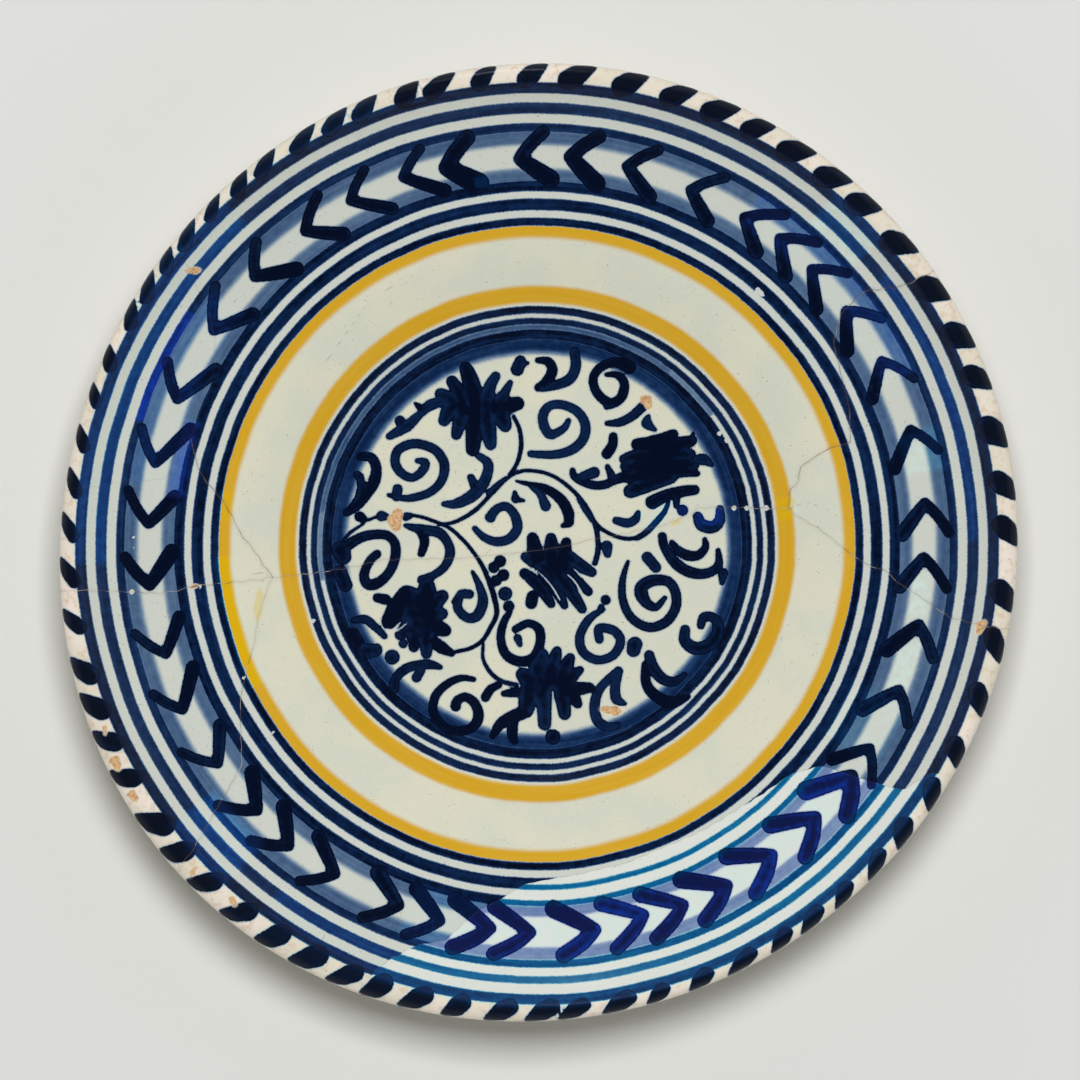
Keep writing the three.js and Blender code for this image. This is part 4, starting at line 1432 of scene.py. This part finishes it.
@dataclass
class BrokenDish:
    """The dish: turned whole, and broken along its lines.

    The pieces take the names of the solids that they stand for.
    """

    section: Section = field(default_factory=Section)
    rim: RimOutline = field(default_factory=RimOutline)
    turns: int = 720
    wedges: int = 8
    opening: float = 0.11
    seam: float = 0.1
    seam_coarse: int = 3
    wall_low: float = -5.0
    wall_high: float = 60.0
    smooth_angle: float = 35.0
    merge_gap: float = 0.001

    def turn(self, name: str, coarse: int = 1) -> bpy.types.Object:
        """Spin the section into one wedge, and double that until it is one closed dish.

        Args:
            name: The dish's name.
            coarse: How many times wider than usual its faces are.

        Returns:
            The dish, with its foot on the ground.
        """
        deselect_all()
        outline = self.section.outline(coarse=coarse)
        bpy.ops.mesh.primitive_circle_add(vertices=len(outline), radius=0.1, fill_type="NOTHING")
        blank = bpy.context.object
        blank.name = name
        for vertex, (radius, height) in zip(blank.data.vertices, outline):
            vertex.co = (radius * MM, 0, height * MM)
            vertex.select = False
        ends = {0, len(outline) - 1}
        for edge in blank.data.edges:
            edge.select = set(edge.vertices) == ends
        bpy.ops.object.mode_set(mode="EDIT")
        bpy.ops.mesh.select_mode(type="EDGE")
        bpy.ops.mesh.delete(type="EDGE_FACE")
        bpy.ops.mesh.select_mode(type="VERT")
        bpy.ops.mesh.select_all(action="SELECT")
        steps, wedges = self.turns // self.wedges // coarse, 1
        bpy.ops.mesh.spin(steps=steps, angle=2 * math.pi / self.wedges, center=(0, 0, 0), axis=(0, 0, 1))
        while wedges < self.wedges:
            bpy.ops.mesh.select_all(action="SELECT")
            bpy.ops.mesh.duplicate()
            turn = 2 * math.pi * wedges / self.wedges
            bpy.ops.transform.rotate(value=turn, orient_axis="Z", center_override=(0, 0, 0))
            wedges *= 2
        bpy.ops.mesh.select_all(action="SELECT")
        bpy.ops.mesh.remove_doubles(threshold=self.merge_gap * MM)
        bpy.ops.mesh.normals_make_consistent(inside=False)
        bpy.ops.object.mode_set(mode="OBJECT")
        return blank

    def wall(self, line: BreakLine, width: float, name: str) -> bpy.types.Object:
        """Raise an upright wall along a break line."""
        sides = line.sides(width)
        deselect_all()
        bpy.ops.mesh.primitive_grid_add(x_subdivisions=len(sides) // 2 - 1, y_subdivisions=1)
        wall = bpy.context.object
        wall.name = name
        for vertex, (east, north) in zip(wall.data.vertices, sides):
            vertex.co = (east * MM, north * MM, self.wall_low * MM)
        bpy.ops.object.mode_set(mode="EDIT")
        bpy.ops.mesh.select_all(action="SELECT")
        bpy.ops.mesh.extrude_region_move(
            TRANSFORM_OT_translate={"value": (0, 0, (self.wall_high - self.wall_low) * MM)}
        )
        bpy.ops.mesh.select_all(action="SELECT")
        bpy.ops.mesh.normals_make_consistent(inside=False)
        bpy.ops.object.mode_set(mode="OBJECT")
        return wall

    def combine(self, piece: bpy.types.Object, tool: bpy.types.Object, operation: str) -> None:
        """Cut or trim a piece with another, and apply the result."""
        pick(piece)
        cutter = piece.modifiers.new("cut", "BOOLEAN")
        cutter.operation = operation
        cutter.solver = "MANIFOLD"
        cutter.object = tool
        bpy.ops.object.modifier_apply(modifier=cutter.name)

    def broken(self, body: bpy.types.Object) -> list[bpy.types.Object]:
        """Cut the dish along every break line, and part it."""
        for line in BREAK_LINES:
            wall = self.wall(line, self.opening, "wall_" + line.name)
            self.combine(body, wall, "DIFFERENCE")
            bpy.data.objects.remove(wall)
        pick(body)
        bpy.ops.object.mode_set(mode="EDIT")
        bpy.ops.mesh.select_all(action="SELECT")
        bpy.ops.mesh.separate(type="LOOSE")
        bpy.ops.object.mode_set(mode="OBJECT")
        return list(bpy.context.selected_objects)

    def seams(self, blank: bpy.types.Object) -> dict[str, bpy.types.Object]:
        """Make the thin sheet of glue or filler in every joint."""
        sheets = {}
        for line in BREAK_LINES:
            sheet = self.wall(replace(line, run_on=0.0), self.seam, "glue_" + line.name)
            self.combine(sheet, blank, "INTERSECT")
            sheets[line.name] = sheet
        return sheets

    def named(self, loose: list[bpy.types.Object]) -> dict[str, bpy.types.Object]:
        """Give each loose piece the name of the solid whose box it fills best."""
        nodes = {}
        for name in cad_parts:
            low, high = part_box(name)
            nodes[name] = np.array([*low, *high])
        pieces = {}
        for piece in sorted(loose, key=lambda item: -len(item.data.vertices)):
            places = read_places(piece)
            corners = np.concatenate([places.min(axis=0), places.max(axis=0)]) * MM
            name = min(nodes, key=lambda item: float(np.abs(nodes[item] - corners).sum()))
            if name in pieces:
                LOG.info("a chip of %d points is dropped beside %s", len(places), name)
                bpy.data.objects.remove(piece)
                continue
            pieces[name] = piece
        return pieces


def read_places(piece: bpy.types.Object) -> np.ndarray:
    """Read a piece's points in millimetres, one row each."""
    places = np.empty(len(piece.data.vertices) * 3, dtype=np.float32)
    piece.data.vertices.foreach_get("co", places)
    return places.reshape(-1, 3).astype(float) / MM


def write_places(piece: bpy.types.Object, places: np.ndarray) -> None:
    """Put a piece's points where they are wanted, from millimetres."""
    piece.data.vertices.foreach_set("co", (places * MM).astype(np.float32).ravel())
    piece.data.update()


@dataclass
class Decorator:
    """Paints the pieces, sinks their flakes, and puts their lips out of round."""

    dish: BrokenDish
    paint: PaintMap
    flake_depth: float = 0.6
    flake_slope: float = 0.7
    edge_reach: float = 0.4
    steep: float = 0.35
    glue_sunk: float = 0.02

    def dress(self, piece: bpy.types.Object, plaster: bool, surface: bpy.types.Material,
              edge: bpy.types.Material, sunk: float = 0.0) -> None:
        """Give a piece its fields, its last shape and its materials.

        Args:
            piece: The piece, still on the round dish.
            plaster: Whether it is a plaster fill.
            surface: The finish of its face and back.
            edge: The finish of its broken edges.
            sunk: How far its face and back lie inside the dish's surface.
        """
        places = read_places(piece)
        fields = self.paint.fields(places, plaster)
        for name, values in fields.items():
            attribute = piece.data.attributes.new(name, "FLOAT", "POINT")
            attribute.data.foreach_set("value", values.astype(np.float32))
        pit = self.flake_depth * clamp_smooth(fields["flake"] / self.flake_slope) * fields["face"]
        shaped = self.dish.rim.push(places)
        shaped[:, 2] -= pit
        shaped[:, 2] -= sunk * (fields["face"] * 2 - 1)
        write_places(piece, shaped)
        piece.data.materials.clear()
        piece.data.materials.append(surface)
        piece.data.materials.append(edge)
        self.mark_edges(piece, np.minimum(fields["crack"], fields["joint"]))
        pick(piece)
        bpy.ops.object.shade_smooth_by_angle(angle=math.radians(self.dish.smooth_angle))

    def mark_edges(self, piece: bpy.types.Object, away: np.ndarray) -> None:
        """Give the upright faces beside a break the finish of the bare body."""
        mesh = piece.data
        count = len(mesh.polygons)
        starts, normals = np.empty(count, dtype=np.int32), np.empty(count * 3, dtype=np.float32)
        corners = np.empty(len(mesh.loops), dtype=np.int32)
        mesh.polygons.foreach_get("loop_start", starts)
        mesh.polygons.foreach_get("normal", normals)
        mesh.loops.foreach_get("vertex_index", corners)
        farthest = np.maximum.reduceat(away[corners], starts)
        upright = np.abs(normals.reshape(-1, 3)[:, 2]) < self.steep
        broken = (farthest < self.edge_reach) & upright
        mesh.polygons.foreach_set("material_index", broken.astype(np.int32))
        mesh.update()


# --------------------------------------------------------------------------------------------------
# The studio


@dataclass
class SoftBox:
    """One soft light, hung at a bearing and a lean from straight above, in metres.

    A mirrored one shows only as a gleam on the glaze, and any other lights the dish without a gleam.
    """

    name: str
    bearing: float
    lean: float
    power: float
    size: float
    mirrored: bool = False
    distance: float = 4.0

    def hang(self) -> None:
        """Hang the light so that it faces the dish."""
        turn, lean = math.radians(self.bearing), math.radians(self.lean)
        away = self.distance * math.sin(lean)
        place = (away * math.cos(turn), away * math.sin(turn), self.distance * math.cos(lean))
        deselect_all()
        bpy.ops.object.light_add(type="AREA", location=place, rotation=(0, lean, turn))
        lamp = bpy.context.object
        lamp.name = self.name
        lamp.data.size = self.size
        lamp.data.energy = self.power
        lamp.visible_camera = False
        lamp.visible_glossy = self.mirrored
        lamp.visible_diffuse = not self.mirrored


@dataclass
class Studio:
    """The pale ground, the soft lights and the camera that looks straight down."""

    ground_size: float = 40.0
    view_width: float = 338.9
    focus_height: float = 30.0
    camera_height: float = 6.0
    camera_east: float = 0.94
    camera_north: float = 1.26
    sensor: float = 36.0
    wall_colour: Colour = (226, 226, 223)
    ceiling_colour: Colour = (52, 53, 56)
    wall_top: float = 0.35
    ceiling_from: float = 0.8
    soft_boxes: list[SoftBox] = field(default_factory=lambda: [
        SoftBox("key_light", bearing=84, lean=11, power=122, size=1.1),
        SoftBox("window_light", bearing=95, lean=60, power=14, size=0.6, mirrored=True),
    ])

    def ground(self) -> bpy.types.Object:
        """Lay the ground under the foot."""
        deselect_all()
        bpy.ops.mesh.primitive_plane_add(size=self.ground_size, location=(0, 0, CAD_BOX[0][2]))
        ground = bpy.context.object
        ground.name = "ground"
        ground.data.materials.append(PaperFinish().material())
        return ground

    def sky(self) -> None:
        """Light the room from its walls, and leave the ceiling dark so that dark paint stays dark."""
        world = bpy.data.worlds.new("room")
        bpy.context.scene.world = world
        world.use_nodes = True
        nodes, links = world.node_tree.nodes, world.node_tree.links
        way = nodes.new("ShaderNodeTexCoord")
        axes = nodes.new("ShaderNodeSeparateXYZ")
        ramp = nodes.new("ShaderNodeValToRGB")
        links.new(way.outputs["Generated"], axes.inputs[0])
        links.new(axes.outputs[2], ramp.inputs[0])
        links.new(ramp.outputs[0], nodes["Background"].inputs["Color"])
        wall, ceiling = ramp.color_ramp.elements
        wall.position, ceiling.position = self.wall_top, self.ceiling_from
        wall.color, ceiling.color = srgb(*self.wall_colour), srgb(*self.ceiling_colour)

    def camera(self) -> None:
        """Hang the camera above the dish, with north at the top of the picture."""
        deselect_all()
        place = (self.camera_east * MM, self.camera_north * MM, self.camera_height + self.focus_height * MM)
        bpy.ops.object.camera_add(location=place, rotation=(0, 0, 0))
        camera = bpy.context.object
        camera.name = "camera_above"
        camera.data.sensor_width = self.sensor
        camera.data.lens = self.sensor * self.camera_height / (self.view_width * MM)
        camera.data.clip_end = 100
        camera.data.dof.use_dof = False
        bpy.context.scene.camera = camera

    def build(self) -> None:
        """Set up the whole studio."""
        self.ground()
        self.sky()
        self.camera()
        for soft_box in self.soft_boxes:
            soft_box.hang()
        bpy.context.scene.view_settings.view_transform = "Standard"


def main() -> None:
    """Build the dish, its joints and the studio, and report each piece."""
    logging.basicConfig(level=logging.INFO, format="%(name)s: %(message)s")
    Studio().build()
    dish = BrokenDish()
    decorator = Decorator(dish, PaintMap(dish.section))
    glaze, upper_fill, lower_fill = OLD_GLAZE.material(), UPPER_FILL.material(), LOWER_FILL.material()
    fills = {"rim_fill_lower": lower_fill, "rim_fill_upper_left": upper_fill}
    clay_edge, plaster_edge = CLAY_EDGE.material(), PLASTER_EDGE.material()
    open_glue, faint_glue = OPEN_GLUE.material(), FAINT_GLUE.material()

    blank = dish.turn("blank", dish.seam_coarse)
    seams = dish.seams(blank)
    bpy.data.objects.remove(blank)
    pieces = dish.named(dish.broken(dish.turn("dish")))
    for name, piece in sorted(pieces.items()):
        filled = name in fills
        decorator.dress(piece, filled, fills.get(name, glaze), plaster_edge if filled else clay_edge)
        piece.name = "visual_" + name
        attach(piece, "root")
        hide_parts(name)
        LOG.info("%s: %d points", piece.name, len(piece.data.vertices))
    for line in BREAK_LINES:
        sheet = seams[line.name]
        if line.overpainted:
            decorator.dress(sheet, True, upper_fill, plaster_edge)
        else:
            glue = open_glue if line.dark else faint_glue
            decorator.dress(sheet, False, glue, glue, decorator.glue_sunk)
        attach(sheet, "root")
        LOG.info("%s: %d points", sheet.name, len(sheet.data.vertices))


if __name__ == "__main__":
    main()
